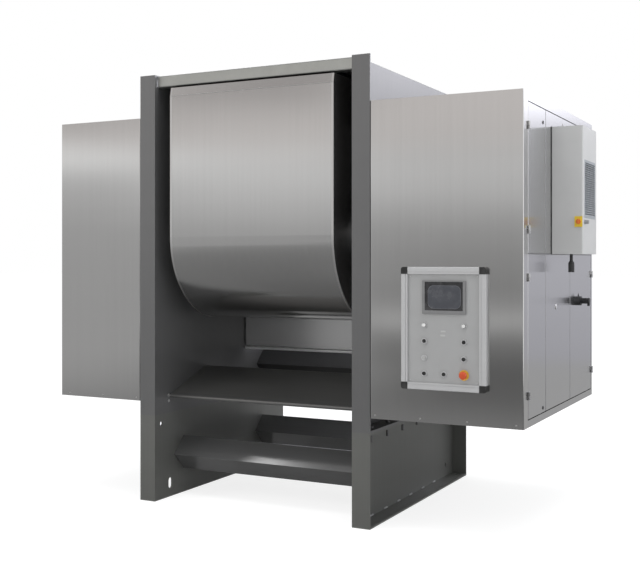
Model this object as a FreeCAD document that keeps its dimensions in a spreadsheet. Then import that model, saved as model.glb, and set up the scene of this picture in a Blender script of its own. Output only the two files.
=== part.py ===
import FreeCAD, Part
import math
import os
from types import SimpleNamespace

import Sketcher

# Horizontal dough mixer with a tilting bowl, between two casings on a bolted side frame.
# Millimetres. X runs along the bowl's axis to the operator's right, Y to the back, Z up.
# The origin is on the floor, in the middle of the four anchor holes.

SIZES = {
    # side frames
    "frame_height": 2500,
    "frame_depth": 1540,
    "inner_width": 1276,
    "flange_width": 105,
    "frame_plate": 10,
    "joint_height": 504,
    "joint_flange": 12,
    "foot_plate": 12,
    "anchor_offset": 60,
    "anchor_inset": 70,
    "anchor_hole_radius": 11,
    "peep_hole_radius": 13,
    "peep_hole_setback": 65,
    "peep_hole_drop": 55,
    "slot_setback": 156,
    "slot_low": 49,
    "slot_high": 115,
    "slot_radius": 19,
    "drain_hole_inset": 138,
    "drain_hole_height": 85,
    "drain_hole_radius": 14,
    # bolts through the joint of the side frames
    "bolt_radius": 8,
    "bolt_hole_gap": 1,
    "bolt_line": 63,
    "bolt_inset": 110,
    "bolt_head_radius": 14,
    "bolt_head_height": 10,
    "nut_height": 13,
    "bolt_tail": 40,
    "bearing_bolt_inset": 52,
    "bearing_bolt_radius": 12,
    "outboard_bolt_inset": 28,
    "outboard_bolt_radius": 8,
    # sheets and beams that tie the side frames
    "step_setback": 157,
    "step_height": 614,
    "step_run": 383,
    "step_rise": 137,
    "step_sheet": 7,
    "step_lip_radius": 11,
    "beam_reach": 99,
    "beam_sheet": 8,
    "front_beam_setback": 192,
    "rear_beam_setback": 1145,
    "low_beam_height": 246,
    "high_beam_setback": 1166,
    "high_beam_height": 706,
    "guard_setback": 1012,
    "guard_bottom": 821,
    "guard_overlap": 52,
    "guard_sheet": 4,
    "guard_roll_radius": 10,
    "top_bar_setback": 25,
    "top_bar_depth": 60,
    "top_bar_height": 68,
    "top_bar_drop": 4,
    "top_bar_sheet": 5,
    "top_bar_end_gap": 5,
    "top_bar_bend": 9,
    "cleat_inset": 9,
    # tilting bowl
    "axis_drop": 950,
    "bowl_radius": 485,
    "bowl_length": 1060,
    "bowl_sheet": 8,
    "end_plate": 12,
    "mouth_height": 867,
    "lip_height": 817,
    "lip_setback": 10,
    "canopy_gap": 11,
    "canopy_side_gap": 14,
    "canopy_sheet": 4,
    "canopy_skirt": 90,
    "inlet_radius": 150,
    "inlet_wall": 4,
    "inlet_height": 58,
    "inlet_setback": 300,
    # trunnions and bearings
    "running_gap": 0.05,
    "journal_radius": 120,
    "trunnion_flange_radius": 200,
    "trunnion_flange": 25,
    "trunnion_bore_radius": 75,
    "web_hole_radius": 150,
    "bearing_width": 420,
    "bearing_flange": 30,
    "bearing_boss_radius": 175,
    "bearing_boss": 60,
    "bush_length": 110,
    "shaft_radius": 55,
    "shaft_hole_gap": 3,
    "seal_width": 16,
    # agitator
    "mixing_shaft_radius": 66,
    "mixing_shaft_end_gap": 14,
    "paddle_hub_radius": 92,
    "paddle_hub_width": 74,
    "paddle_arm_width": 46,
    "paddle_arm_depth": 26,
    "paddle_wall_gap": 12,
    "paddle_blade_width": 168,
    "paddle_blade_height": 150,
    "paddle_blade_sheet": 12,
    "paddle_blade_twist": 40,
    "paddle_end_gap": 16,
    # gears
    "gear_module": 10,
    "gear_backlash": 0.6,
    "pressure_angle": 20,
    "pinion_teeth": 18,
    "bull_teeth": 54,
    "bull_face": 90,
    "bull_hub_radius": 95,
    "bull_hub_length": 30,
    "bull_rim_depth": 35,
    "bull_dish": 22,
    "bull_window_radius": 45,
    "bull_windows": 6,
    "tilt_teeth": 72,
    "tilt_face": 60,
    "tilt_range": 105,
    "tilt_spare_teeth": 4,
    "tilt_hub_radius": 165,
    "tilt_rim_depth": 30,
    "tilt_window_radius": 54,
    "tilt_windows": 5,
    "gear_side_gap": 12,
    "pinion_shaft_radius": 35,
    # gearmotors and their brackets
    "bracket_plate": 15,
    "bracket_side": 12,
    "main_bracket_half_width": 310,
    "main_bracket_top": 170,
    "tilt_bracket_half_width": 220,
    "tilt_bracket_top": 130,
    "bracket_bottom": 175,
    "shaft_opening_gap": 20,
    "outboard_width": 220,
    "outboard_flange": 20,
    "outboard_boss_radius": 90,
    "outboard_boss": 40,
    "unit_flange_radius": 140,
    "unit_flange": 20,
    "unit_length": 200,
    "unit_half_width": 130,
    "unit_height": 310,
    "unit_seat_depth": 110,
    "motor_radius": 112,
    "motor_length": 300,
    "motor_fin": 14,
    "motor_fin_width": 8,
    "motor_fin_pitch": 30,
    "motor_cowl_length": 60,
    "motor_neck_radius": 90,
    "motor_neck_length": 28,
    "terminal_box_width": 100,
    "terminal_box_reach": 168,
    # casings
    "casing_gap": 1,
    "casing_sheet": 3,
    "casing_bend": 7,
    "left_casing_reach": 1344,
    "right_casing_reach": 1565,
    "casing_bottom": 585,
    "casing_drop": 248,
    "casing_depth": 1515,
    "corner_return": 75,
    "plain_return": 25,
    # doors on the right casing's side
    "door_depth": 25,
    "door_sheet": 2,
    "door_bend": 5,
    "door_gap": 5,
    "door_stop_gap": 2,
    "door_stop_depth": 30,
    "door_stop_width": 50,
    "rim_depth": 30,
    "rim_height": 48,
    "sill_height": 36,
    "rear_stile": 25,
    "service_seam": 414,
    "lower_seam": 948,
    "split_height": 1447,
    "hinge_pin_radius": 3,
    "hinge_knuckle_radius": 6,
    "hinge_knuckle_length": 20,
    "hinge_leaf": 2,
    "hinge_leaf_width": 34,
    "hinge_inset": 116,
    # control cabinet
    "partition_reach": 1165,
    "partition_setback": 40,
    "gear_margin": 60,
    "gear_gap": 24,
    "gear_row_pitch": 270,
    "duct_height": 60,
    "duct_depth": 70,
    "drive_width": 230,
    "tilt_drive_width": 150,
    "supply_width": 115,
    "drive_height": 170,
    "drive_depth": 180,
    "breaker_width": 45,
    "breaker_height": 90,
    "breaker_gap": 6,
    "contactor_width": 62,
    "contactor_height": 85,
    "contactor_depth": 105,
    "contactor_gap": 12,
    "terminal_width": 400,
    "terminal_depth": 50,
    "main_breaker_width": 160,
    "main_breaker_height": 224,
    # cooling unit on the cabinet door
    "cooler_depth": 168,
    "cooler_setback": 529,
    "cooler_width": 328,
    "cooler_height": 679,
    "cooler_sheet": 3,
    "cooler_bend": 8,
    "grille_width": 266,
    "grille_height": 310,
    "grille_low": 191,
    "grille_depth": 10,
    "grille_rim": 14,
    "grille_slats": 25,
    "grille_slat_sheet": 2,
    "grille_slat_drop": 10,
    "fan_radius": 122,
    "fan_hub_radius": 36,
    "fan_depth": 30,
    "fan_shaft_radius": 8,
    "fan_behind_grille": 24,
    "fan_blades": 5,
    "fan_blade_sheet": 3,
    "fan_blade_chord": 58,
    "fan_blade_pitch": 62,
    "boot_top_radius": 8,
    "boot_bottom_radius": 16,
    "boot_length": 97,
    "boot_neck": 34,
    "boot_shoulder": 14,
    "boot_bore_radius": 6,
    "boot_reach": 85,
    "boot_setback": 620,
    "isolator_width": 41,
    "isolator_height": 56,
    "isolator_low": 143,
    "isolator_sheet": 4,
    "isolator_knob_radius": 13,
    "isolator_knob_depth": 16,
    "isolator_disc_depth": 6,
    "isolator_grip_width": 9,
    "isolator_shaft_radius": 4,
    # main switch on the lower door
    "switch_setback": 1080,
    "switch_height": 1180,
    "switch_base_radius": 27,
    "switch_base_depth": 34,
    "switch_shaft_radius": 8,
    "switch_grip_radius": 17,
    "switch_grip_depth": 46,
    "switch_arm_radius": 7,
    "switch_ball_radius": 15,
    "switch_arm_side": 15,
    "switch_arm_drop": 30,
    "pointer_radius": 6,
    "pointer_tip_radius": 1,
    "pointer_length": 16,
    # operator panel
    "panel_left": 930,
    "panel_width": 454,
    "panel_bottom": 756,
    "panel_height": 624,
    "panel_profile": 36,
    "profile_edge_radius": 5,
    "profile_groove_inset": 24,
    "profile_groove_width": 3,
    "profile_groove_depth": 2,
    "panel_corner_radius": 14,
    "panel_corner_proud": 1,
    "panel_depth": 28,
    "panel_plate_recess": 8,
    "panel_plate_sheet": 4,
    "panel_cutout_inset": 24,
    "control_shift": 4,
    "screen_width": 231,
    "screen_height": 169,
    "screen_bottom": 386,
    "screen_border": 14,
    "screen_head": 6,
    "screen_foot": 18,
    "screen_depth": 7,
    "screen_recess": 2,
    "button_pitch": 105.5,
    "button_radius": 9.5,
    "button_proud": 5,
    "button_travel": 3,
    "bezel_radius": 15,
    "bezel_height": 4,
    "bezel_neck_radius": 11,
    "bezel_neck_length": 14,
    "bezel_hole_gap": 0.2,
    "top_button_height": 329,
    "selector_height": 248,
    "start_button_height": 163,
    "bottom_button_height": 83,
    "selector_grip_width": 6,
    "selector_grip_height": 9,
    "stop_head_radius": 20,
    "stop_head_height": 14,
    "stop_neck_gap": 8,
    "stop_travel": 4,
}

BOLTS_PER_SIDE = 7
PADDLES = 8
DRIVE_PINION_ANGLE = -90
TILT_PINION_ANGLE = -90

doc = FreeCAD.newDocument("DoughMixer")
sheet = doc.addObject("Spreadsheet::Sheet", "Sizes")
for row, (alias, number) in enumerate(SIZES.items(), start=1):
    sheet.set(f"A{row}", alias)
    sheet.set(f"B{row}", str(number))
    sheet.setAlias(f"B{row}", alias)
doc.recompute()


class Size:
    """A number that keeps the sheet expression it comes from."""

    def __init__(self, value, text):
        self.value = float(value)
        self.text = text

    def __add__(self, other):
        other = size(other)
        return Size(self.value + other.value, f"({self.text} + {other.text})")

    def __sub__(self, other):
        other = size(other)
        return Size(self.value - other.value, f"({self.text} - {other.text})")

    def __mul__(self, other):
        other = size(other)
        return Size(self.value * other.value, f"({self.text} * {other.text})")

    def __truediv__(self, other):
        other = size(other)
        return Size(self.value / other.value, f"({self.text} / {other.text})")

    def __radd__(self, other):
        return size(other) + self

    def __rsub__(self, other):
        return size(other) - self

    def __rmul__(self, other):
        return size(other) * self

    def __neg__(self):
        return Size(-self.value, f"(0 - {self.text})")


def size(value):
    """Any number as a Size."""
    if isinstance(value, Size):
        return value
    text = repr(float(value))
    return Size(value, f"({text})" if value < 0 else text)


def root(square):
    return Size(math.sqrt(square.value), f"sqrt({square.text})")


S = SimpleNamespace(**{alias: Size(number, f"Sizes.{alias}") for alias, number in SIZES.items()})

# Places that several pieces share.
front = -S.frame_depth / 2
back = S.frame_depth / 2
web_in = S.inner_width / 2
web_out = web_in + S.frame_plate
post_edge = web_in + S.flange_width
axis_y = front + S.bowl_radius
axis_z = S.frame_height - S.axis_drop
casing_top = S.frame_height - S.casing_drop
bearing_end = web_out + S.bearing_flange + S.bearing_boss
tilt_gear_in = bearing_end + S.gear_side_gap
tilt_gear_out = tilt_gear_in + S.tilt_face
trunnion_end = tilt_gear_out + S.gear_side_gap
bull_in = trunnion_end + S.gear_side_gap
bull_out = bull_in + S.bull_face
main_plate_in = bull_out + S.bull_hub_length + S.gear_side_gap
main_plate_out = main_plate_in + S.bracket_plate
tilt_plate_in = trunnion_end + S.gear_side_gap
tilt_plate_out = tilt_plate_in + S.bracket_plate
drive_distance = S.gear_module * (S.bull_teeth + S.pinion_teeth) / 2
tilt_distance = S.gear_module * (S.tilt_teeth + S.pinion_teeth) / 2
drive_pinion_z = axis_z - drive_distance
tilt_pinion_z = axis_z - tilt_distance
casing_in = post_edge + S.casing_gap
casing_back = front + S.casing_depth
side_face = S.right_casing_reach
rim_in = side_face - S.rim_depth
door_in = side_face - S.door_depth
stop_out = door_in - S.door_stop_gap
stop_in = stop_out - S.door_stop_depth
front_seam = front + S.corner_return + S.door_gap / 2
middle_seam = front + S.service_seam
lower_seam = front + S.lower_seam
rear_seam = casing_back - S.rear_stile - S.door_gap / 2
doors_low = S.casing_bottom + S.sill_height + S.door_gap
doors_high = casing_top - S.rim_height - S.door_gap
hinge_x = side_face + S.hinge_knuckle_radius
panel_x = (S.panel_left, S.panel_left + S.panel_width)
panel_z = (S.panel_bottom, S.panel_bottom + S.panel_height)
control_middle = S.panel_left + S.panel_width / 2 + S.control_shift
hood_reach = S.mouth_height + S.canopy_gap
hood_side = S.bowl_radius + S.canopy_side_gap
hood_turn = root(hood_reach * hood_reach - hood_side * hood_side)
skirt_z = axis_z + hood_turn - S.canopy_skirt

TURNS = {
    "x": FreeCAD.Rotation(FreeCAD.Vector(0, 1, 0), 90),
    "y": FreeCAD.Rotation(FreeCAD.Vector(1, 0, 0), -90),
    "z": FreeCAD.Rotation(),
}


def bind(item, name, value):
    """Set a property and tie it to the sheet."""
    value = size(value)
    item.setExpression(name, value.text)
    return value.value


def place(item, x, y, z, rotation=FreeCAD.Rotation()):
    """Put an object at a point, each coordinate tied to the sheet."""
    x, y, z = size(x), size(y), size(z)
    item.Placement = FreeCAD.Placement(FreeCAD.Vector(x.value, y.value, z.value), rotation)
    for axis, value in zip("xyz", (x, y, z)):
        item.setExpression(f"Placement.Base.{axis}", value.text)


def box(name, x, y, z):
    """A block between low and high values along each axis."""
    item = doc.addObject("Part::Box", name)
    for side, (low, high) in zip(("Length", "Width", "Height"), (x, y, z)):
        span = size(high) - low
        setattr(item, side, span.value)
        bind(item, side, span)
    place(item, x[0], y[0], z[0])
    return item


def rod(name, axis, start, radius, length):
    """A cylinder from a start point along an axis."""
    item = doc.addObject("Part::Cylinder", name)
    item.Radius = bind(item, "Radius", radius)
    item.Height = bind(item, "Height", length)
    place(item, *start, TURNS[axis])
    return item


def taper(name, axis, start, radius, far_radius, length):
    """A cone from a start point along an axis."""
    item = doc.addObject("Part::Cone", name)
    item.Radius1 = bind(item, "Radius1", radius)
    item.Radius2 = bind(item, "Radius2", far_radius)
    item.Height = bind(item, "Height", length)
    place(item, *start, TURNS[axis])
    return item


def ball(name, centre, radius):
    item = doc.addObject("Part::Sphere", name)
    item.Radius = bind(item, "Radius", radius)
    place(item, *centre)
    return item


def hexagon(name, axis, start, radius, height):
    """A hexagonal block from a start point along an axis."""
    item = doc.addObject("Part::Prism", name)
    item.Polygon = 6
    item.Circumradius = bind(item, "Circumradius", radius)
    item.Height = bind(item, "Height", height)
    place(item, *start, TURNS[axis])
    return item


def fuse(name, *items):
    item = doc.addObject("Part::MultiFuse", name)
    item.Shapes = list(items)
    item.Refine = True
    return item


def cut(name, base, *tools):
    item = doc.addObject("Part::Cut", name)
    item.Base = base
    item.Tool = tools[0] if len(tools) == 1 else fuse(f"{name}_tools", *tools)
    return item


def common(name, first, second):
    item = doc.addObject("Part::Common", name)
    item.Base = first
    item.Tool = second
    return item


def group(name, *items):
    """Pieces of one kind that stay separate solids."""
    item = doc.addObject("Part::Compound", name)
    item.Links = list(items)
    return item


def mirrored(name, source):
    """The left-hand twin of a right-hand piece."""
    item = doc.addObject("Part::Mirroring", name)
    item.Source = source
    item.Normal = FreeCAD.Vector(1, 0, 0)
    return item


def plane_of(body, role):
    return next(plane for plane in body.Origin.OriginFeatures if plane.Role == role)


def outline(body, role, offset, corners, arcs=None):
    """A closed sketch whose corners are tied to the sheet.

    arcs maps the number of a corner to the centre of the arc that leaves it, and
    whether the arc runs anticlockwise.
    """
    arcs = arcs or {}
    sketch = body.newObject("Sketcher::SketchObject", f"{body.Name}_outline")
    sketch.AttachmentSupport = [(plane_of(body, role), "")]
    sketch.MapMode = "FlatFace"
    offset = size(offset)
    sketch.AttachmentOffset = FreeCAD.Placement(FreeCAD.Vector(0, 0, offset.value), FreeCAD.Rotation())
    sketch.setExpression("AttachmentOffset.Base.z", offset.text)
    corners = [(size(u), size(v)) for u, v in corners]
    points = [FreeCAD.Vector(u.value, v.value, 0) for u, v in corners]
    count = len(corners)
    starts, ends = [], []
    for index, point in enumerate(points):
        other = points[(index + 1) % count]
        if index not in arcs:
            sketch.addGeometry(Part.LineSegment(point, other))
            starts.append(1)
            ends.append(2)
            continue
        centre, anticlockwise = arcs[index]
        middle = FreeCAD.Vector(size(centre[0]).value, size(centre[1]).value, 0)
        first, last = (point, other) if anticlockwise else (other, point)
        angles = [math.atan2(spot.y - middle.y, spot.x - middle.x) for spot in (first, last)]
        circle = Part.Circle(middle, FreeCAD.Vector(0, 0, 1), (point - middle).Length)
        sketch.addGeometry(Part.ArcOfCircle(circle, angles[0], angles[1]))
        starts.append(1 if anticlockwise else 2)
        ends.append(2 if anticlockwise else 1)
    rules, ties = [], []
    for index in range(count):
        after = (index + 1) % count
        rules.append(Sketcher.Constraint("Coincident", index, ends[index], after, starts[after]))
    for index, (u, v) in enumerate(corners):
        for kind, value in (("DistanceX", u), ("DistanceY", v)):
            ties.append((len(rules), value))
            rules.append(Sketcher.Constraint(kind, -1, 1, index, starts[index], value.value))
    for index, (centre, _) in arcs.items():
        chord = points[(index + 1) % count] - points[index]
        flat = abs(chord.x) >= abs(chord.y)
        kind, value = ("DistanceY", size(centre[1])) if flat else ("DistanceX", size(centre[0]))
        ties.append((len(rules), value))
        rules.append(Sketcher.Constraint(kind, -1, 1, index, 3, value.value))
    sketch.addConstraint(rules)
    for index, value in ties:
        sketch.setExpression(f"Constraints[{index}]", value.text)
    return sketch


def pad(name, role, start, depth, corners, arcs=None):
    """A sheet or profile drawn as an outline and given a depth along its plane's normal."""
    body = doc.addObject("PartDesign::Body", name)
    sketch = outline(body, role, start, corners, arcs)
    feature = body.newObject("PartDesign::Pad", f"{name}_pad")
    feature.Profile = sketch
    feature.Length = bind(feature, "Length", depth)
    return body


def turned(name, axis, at, profile):
    """A round piece turned from a profile of (radius, place along the axis) corners."""
    body = doc.addObject("PartDesign::Body", name)
    sketch = outline(body, "XZ_Plane", 0, profile)
    feature = body.newObject("PartDesign::Revolution", f"{name}_turn")
    feature.Profile = sketch
    feature.ReferenceAxis = (sketch, ["V_Axis"])
    feature.Angle = 360
    place(body, *at, TURNS[axis])
    return body


def moved(point, direction, distance):
    """A point of an outline, moved along a direction that is one of its two axes."""
    return tuple(place + distance * step if step else place for place, step in zip(point, direction))


def folded_section(line, skin, bend):
    """Corners and arcs of a folded sheet's section.

    The line runs along the outer face, turns left at each bend, and has the sheet on its left.
    """
    headings = []
    for (u, v), (next_u, next_v) in zip(line, line[1:]):
        run, rise = size(next_u - u).value, size(next_v - v).value
        headings.append((round(run / math.hypot(run, rise)), round(rise / math.hypot(run, rise))))
    outer, inner, centres = [line[0]], [moved(line[0], (-headings[0][1], headings[0][0]), skin)], []
    for corner, before, after in zip(line[1:], headings, headings[1:]):
        start, end = moved(corner, before, -bend), moved(corner, after, bend)
        outer += [start, end]
        inner += [moved(start, after, skin), moved(end, before, -skin)]
        centres.append(moved(start, after, bend))
    outer.append(line[-1])
    inner.append(moved(line[-1], (-headings[-1][1], headings[-1][0]), skin))
    arcs = {}
    for index, centre in enumerate(centres):
        arcs[2 * index + 1] = (centre, True)
        arcs[len(outer) + len(inner) - 3 - 2 * index] = (centre, False)
    return outer + inner[::-1], arcs


def along_x(name, half, corners, arcs=None):
    """A profile in the YZ plane that runs from -half to half."""
    return pad(name, "YZ_Plane", -half, half * 2, corners, arcs)


def bolt_places():
    """Y of each bolt in the joint."""
    pitch = (S.frame_depth - S.bolt_inset * 2) / (BOLTS_PER_SIDE - 1)
    return [front + S.bolt_inset + pitch * step for step in range(BOLTS_PER_SIDE)]


def bolt_holes(name, low, high):
    """The holes of one joint flange."""
    margin = S.joint_flange / 2
    return [
        rod(
            f"{name}_bolt_hole_{step}",
            "z",
            (web_in + S.bolt_line, y, low - margin),
            S.bolt_radius + S.bolt_hole_gap,
            high - low + margin * 2,
        )
        for step, y in enumerate(bolt_places())
    ]


def channel_plates(name, low, high, flange_low, flange_high, web_holes):
    """The plates of one storey of a side frame, which are welded edge to edge: a web with its holes,
    a front and a rear flange, and the flange of the bolted joint."""
    inside = (front + S.frame_plate, back - S.frame_plate)
    web = box(f"{name}_web_plate", (web_in, web_out), inside, (low, high))
    flange = box(f"{name}_joint_plate", (web_out, post_edge), inside, (flange_low, flange_high))
    return [
        cut(f"{name}_web", web, *web_holes),
        box(f"{name}_front_flange", (web_in, post_edge), (front, front + S.frame_plate), (low, high)),
        box(f"{name}_rear_flange", (web_in, post_edge), (back - S.frame_plate, back), (low, high)),
        cut(f"{name}_joint_flange", flange, *bolt_holes(name, flange_low, flange_high)),
    ]


def base_frame(name):
    """Lower storey: stands on the floor and carries the upper frame on its joint flange."""
    anchors = []
    for end, y in (("front", front + S.anchor_inset), ("rear", back - S.anchor_inset)):
        start = (web_in + S.anchor_offset, y, -S.foot_plate / 2)
        anchors.append(rod(f"{name}_anchor_{end}", "z", start, S.anchor_hole_radius, S.foot_plate * 2))
    start_x = web_in - S.frame_plate
    through = S.frame_plate * 3
    peep_z = S.joint_height - S.peep_hole_drop
    drain_y = back - S.drain_hole_inset
    peep = (start_x, front + S.peep_hole_setback, peep_z)
    drain = (start_x, drain_y, S.drain_hole_height)
    holes = [
        rod(f"{name}_peep", "x", peep, S.peep_hole_radius, through),
        rod(f"{name}_drain", "x", drain, S.drain_hole_radius, through),
    ]
    slot_y = front + S.slot_setback
    slot = fuse(
        f"{name}_slot",
        rod(f"{name}_slot_low", "x", (start_x, slot_y, S.slot_low + S.slot_radius), S.slot_radius, through),
        rod(f"{name}_slot_high", "x", (start_x, slot_y, S.slot_high - S.slot_radius), S.slot_radius, through),
        box(
            f"{name}_slot_middle",
            (start_x, start_x + through),
            (slot_y - S.slot_radius, slot_y + S.slot_radius),
            (S.slot_low + S.slot_radius, S.slot_high - S.slot_radius),
        ),
    )
    foot = box(f"{name}_foot_plate", (web_in, post_edge), (front, back), (0, S.foot_plate))
    flange_low = S.joint_height - S.joint_flange
    plates = channel_plates(name, S.foot_plate, S.joint_height, flange_low, S.joint_height, [*holes, slot])
    return group(name, *plates, cut(f"{name}_foot", foot, *anchors))


def side_frame(name):
    """Upper storey: its web carries the trunnion bearing."""
    flange_high = S.joint_height + S.joint_flange
    through = S.frame_plate * 3
    window = rod(f"{name}_window", "x", (web_in - S.frame_plate, axis_y, axis_z), S.web_hole_radius, through)
    plates = channel_plates(name, S.joint_height, S.frame_height, S.joint_height, flange_high, [window])
    return group(name, *plates)


def bearing_bolts(name, start, half, inset, flange, radius):
    """A bolt in each corner of a flange bearing, with its head outside."""
    bolts = []
    for column, y in enumerate((axis_y - half + inset, axis_y + half - inset)):
        for row, z in enumerate((axis_z - half + inset, axis_z + half - inset)):
            tag = f"{name}_{column}{row}"
            head = hexagon(f"{tag}_head", "x", (start + flange, y, z), radius * 2 - radius / 4, radius)
            shank = rod(f"{tag}_shank", "x", (start, y, z), radius, flange)
            bolts.append(fuse(tag, shank, head))
    return bolts


def frame_bolts(name):
    """Bolts with their nuts hanging under the joint, on both sides, and the bearings' bolts."""
    bolts = []
    x = web_in + S.bolt_line
    head_z = S.joint_height + S.joint_flange
    nut_z = S.joint_height - S.joint_flange - S.nut_height
    for step, y in enumerate(bolt_places()):
        tag = f"{name}_{step}"
        tip_z = nut_z - S.bolt_tail
        bolt = fuse(
            tag,
            hexagon(f"{tag}_head", "z", (x, y, head_z), S.bolt_head_radius, S.bolt_head_height),
            hexagon(f"{tag}_nut", "z", (x, y, nut_z), S.bolt_head_radius, S.nut_height),
            rod(f"{tag}_shank", "z", (x, y, tip_z), S.bolt_radius, head_z - tip_z),
        )
        bolts.append(bolt)
    trunnion = (S.bearing_width / 2, S.bearing_bolt_inset, S.bearing_flange, S.bearing_bolt_radius)
    bolts += bearing_bolts(f"{name}_trunnion", web_out, *trunnion)
    outboard = (S.outboard_width / 2, S.outboard_bolt_inset, S.outboard_flange, S.outboard_bolt_radius)
    drive_end = group(f"{name}_drive_end", *bearing_bolts(f"{name}_outboard", main_plate_out, *outboard))
    right = group(f"{name}_right", *bolts)
    return group(name, right, mirrored(f"{name}_left", right), mirrored(f"{name}_left_drive", drive_end))


def step_plate(name):
    """Sloping sheet below the bowl, with a round front lip."""
    y, z = front + S.step_setback, S.step_height
    corners = [
        (y, z),
        (y + S.step_run, z + S.step_rise),
        (y + S.step_run, z + S.step_rise - S.step_sheet),
        (y, z - S.step_sheet),
    ]
    lip = rod(f"{name}_lip", "x", (-web_in, y, z - S.step_lip_radius), S.step_lip_radius, S.inner_width)
    return fuse(name, along_x(f"{name}_sheet", web_in, corners), lip)


def angle_beam(name, setback, z):
    """Angle-section beam with its corner to the front."""
    y = front + setback
    skin = S.beam_sheet * math.sqrt(2)
    corners = [
        (y, z),
        (y + S.beam_reach, z + S.beam_reach),
        (y + S.beam_reach + skin, z + S.beam_reach),
        (y + skin, z),
        (y + S.beam_reach + skin, z - S.beam_reach),
        (y + S.beam_reach, z - S.beam_reach),
    ]
    return along_x(name, web_in, corners)


def guard_panel(name):
    """Rear sheet behind the bowl, from frame to frame, with a rolled lower edge."""
    y = front + S.guard_setback
    plate = box(
        f"{name}_sheet",
        (-web_in, web_in),
        (y, y + S.guard_sheet),
        (S.guard_bottom, skirt_z + S.guard_overlap),
    )
    roll_y = y + S.guard_sheet - S.guard_roll_radius
    roll_z = S.guard_bottom + S.guard_roll_radius
    roll = rod(f"{name}_roll", "x", (-web_in, roll_y, roll_z), S.guard_roll_radius, S.inner_width)
    return fuse(name, plate, roll)


def top_bar(name, low_y, opening):
    """Folded channel between the frames. opening is 1 where it opens to the back, -1 to the front."""
    high_z = S.frame_height - S.top_bar_drop
    low_z = high_z - S.top_bar_height
    sheet_y = S.top_bar_sheet
    face = low_y if opening > 0 else low_y + S.top_bar_depth
    lip = face + S.top_bar_depth * opening
    line = [(lip, high_z), (face, high_z), (face, low_z), (lip, low_z)]
    corners, arcs = folded_section(line if opening > 0 else line[::-1], sheet_y, S.top_bar_bend)
    bar = along_x(f"{name}_channel", web_in - S.top_bar_end_gap, corners, arcs)
    cleats = [
        box(
            f"{name}_cleat_{side}",
            ends,
            (low_y + S.cleat_inset, low_y + S.top_bar_depth - S.cleat_inset),
            (low_z, low_z + sheet_y),
        )
        for side, ends in (
            ("left", (-web_in, -web_in + S.top_bar_end_gap * 2)),
            ("right", (web_in - S.top_bar_end_gap * 2, web_in)),
        )
    ]
    return fuse(name, bar, *cleats)


def canopy(name):
    """Fixed hood over the bowl: flat at the front, round about the tilt axis at the back."""
    y0 = front + S.top_bar_setback + S.top_bar_depth
    reach, side = hood_reach, hood_side
    skin = S.canopy_sheet
    outer_turn = root((reach + skin) * (reach + skin) - (side + skin) * (side + skin))
    guard_y = front + S.guard_setback
    corners = [
        (y0, axis_z + reach),
        (axis_y, axis_z + reach),
        (axis_y + side, axis_z + hood_turn),
        (axis_y + side, skirt_z),
        (guard_y, skirt_z),
        (guard_y, skirt_z + skin),
        (axis_y + side + skin, skirt_z + skin),
        (axis_y + side + skin, axis_z + outer_turn),
        (axis_y, axis_z + reach + skin),
        (y0, axis_z + reach + skin),
    ]
    centre = (axis_y, axis_z)
    hood = along_x(f"{name}_sheet", web_in, corners, {1: (centre, False), 7: (centre, True)})
    inlet_y = front + S.inlet_setback
    inlet_z = axis_z + reach
    collar = rod(f"{name}_collar", "z", (0, inlet_y, inlet_z), S.inlet_radius, S.inlet_height)
    throat = rod(
        f"{name}_throat",
        "z",
        (0, inlet_y, inlet_z - skin),
        S.inlet_radius - S.inlet_wall,
        S.inlet_height + skin * 2,
    )
    return cut(name, fuse(f"{name}_body", hood, collar), throat)


# Corners of the bowl's section about the tilt axis, from the front lip round to the rear rim.
rim_turn = root(S.mouth_height * S.mouth_height - S.bowl_radius * S.bowl_radius)


def bowl_shell(name):
    """U-shaped trough: straight front and rear walls on a half-round floor."""
    outer = S.bowl_radius
    inner = S.bowl_radius - S.bowl_sheet
    lip = outer - S.lip_setback
    corners = [
        (axis_y - lip, axis_z + S.mouth_height),
        (axis_y - outer, axis_z + S.lip_height),
        (axis_y - outer, axis_z),
        (axis_y + outer, axis_z),
        (axis_y + outer, axis_z + rim_turn),
        (axis_y + inner, axis_z + rim_turn),
        (axis_y + inner, axis_z),
        (axis_y - inner, axis_z),
        (axis_y - inner, axis_z + S.lip_height),
        (axis_y - lip + S.bowl_sheet, axis_z + S.mouth_height),
    ]
    centre = (axis_y, axis_z)
    half = S.bowl_length / 2 - S.end_plate
    return along_x(name, half, corners, {2: (centre, True), 6: (centre, False)})


def bowl_ends(name):
    """Thick end plates whose top edge follows the hood, with the hole for the agitator's shaft."""
    outer = S.bowl_radius
    corners = [
        (axis_y - outer + S.lip_setback, axis_z + S.mouth_height),
        (axis_y - outer, axis_z + S.lip_height),
        (axis_y - outer, axis_z),
        (axis_y + outer, axis_z),
        (axis_y + outer, axis_z + rim_turn),
        (axis_y, axis_z + S.mouth_height),
    ]
    centre = (axis_y, axis_z)
    start = S.bowl_length / 2 - S.end_plate
    arcs = {2: (centre, True), 4: (centre, True)}
    plate = pad(f"{name}_blank", "YZ_Plane", start, S.end_plate, corners, arcs)
    hole = rod(
        f"{name}_hole",
        "x",
        (start - S.end_plate, axis_y, axis_z),
        S.shaft_radius + S.shaft_hole_gap,
        S.end_plate * 3,
    )
    right = cut(f"{name}_right", plate, hole)
    return group(name, right, mirrored(f"{name}_left", right))


def bowl_trunnions(name):
    """Flanged hollow trunnions that carry the bowl in the frame bearings."""
    inside = S.bowl_length / 2
    profile = [
        (S.trunnion_bore_radius, 0),
        (S.trunnion_flange_radius, 0),
        (S.trunnion_flange_radius, S.trunnion_flange),
        (S.journal_radius, S.trunnion_flange),
        (S.journal_radius, trunnion_end - inside),
        (S.trunnion_bore_radius, trunnion_end - inside),
    ]
    right = turned(f"{name}_right", "x", (inside, axis_y, axis_z), profile)
    return group(name, right, mirrored(f"{name}_left", right))


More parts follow.
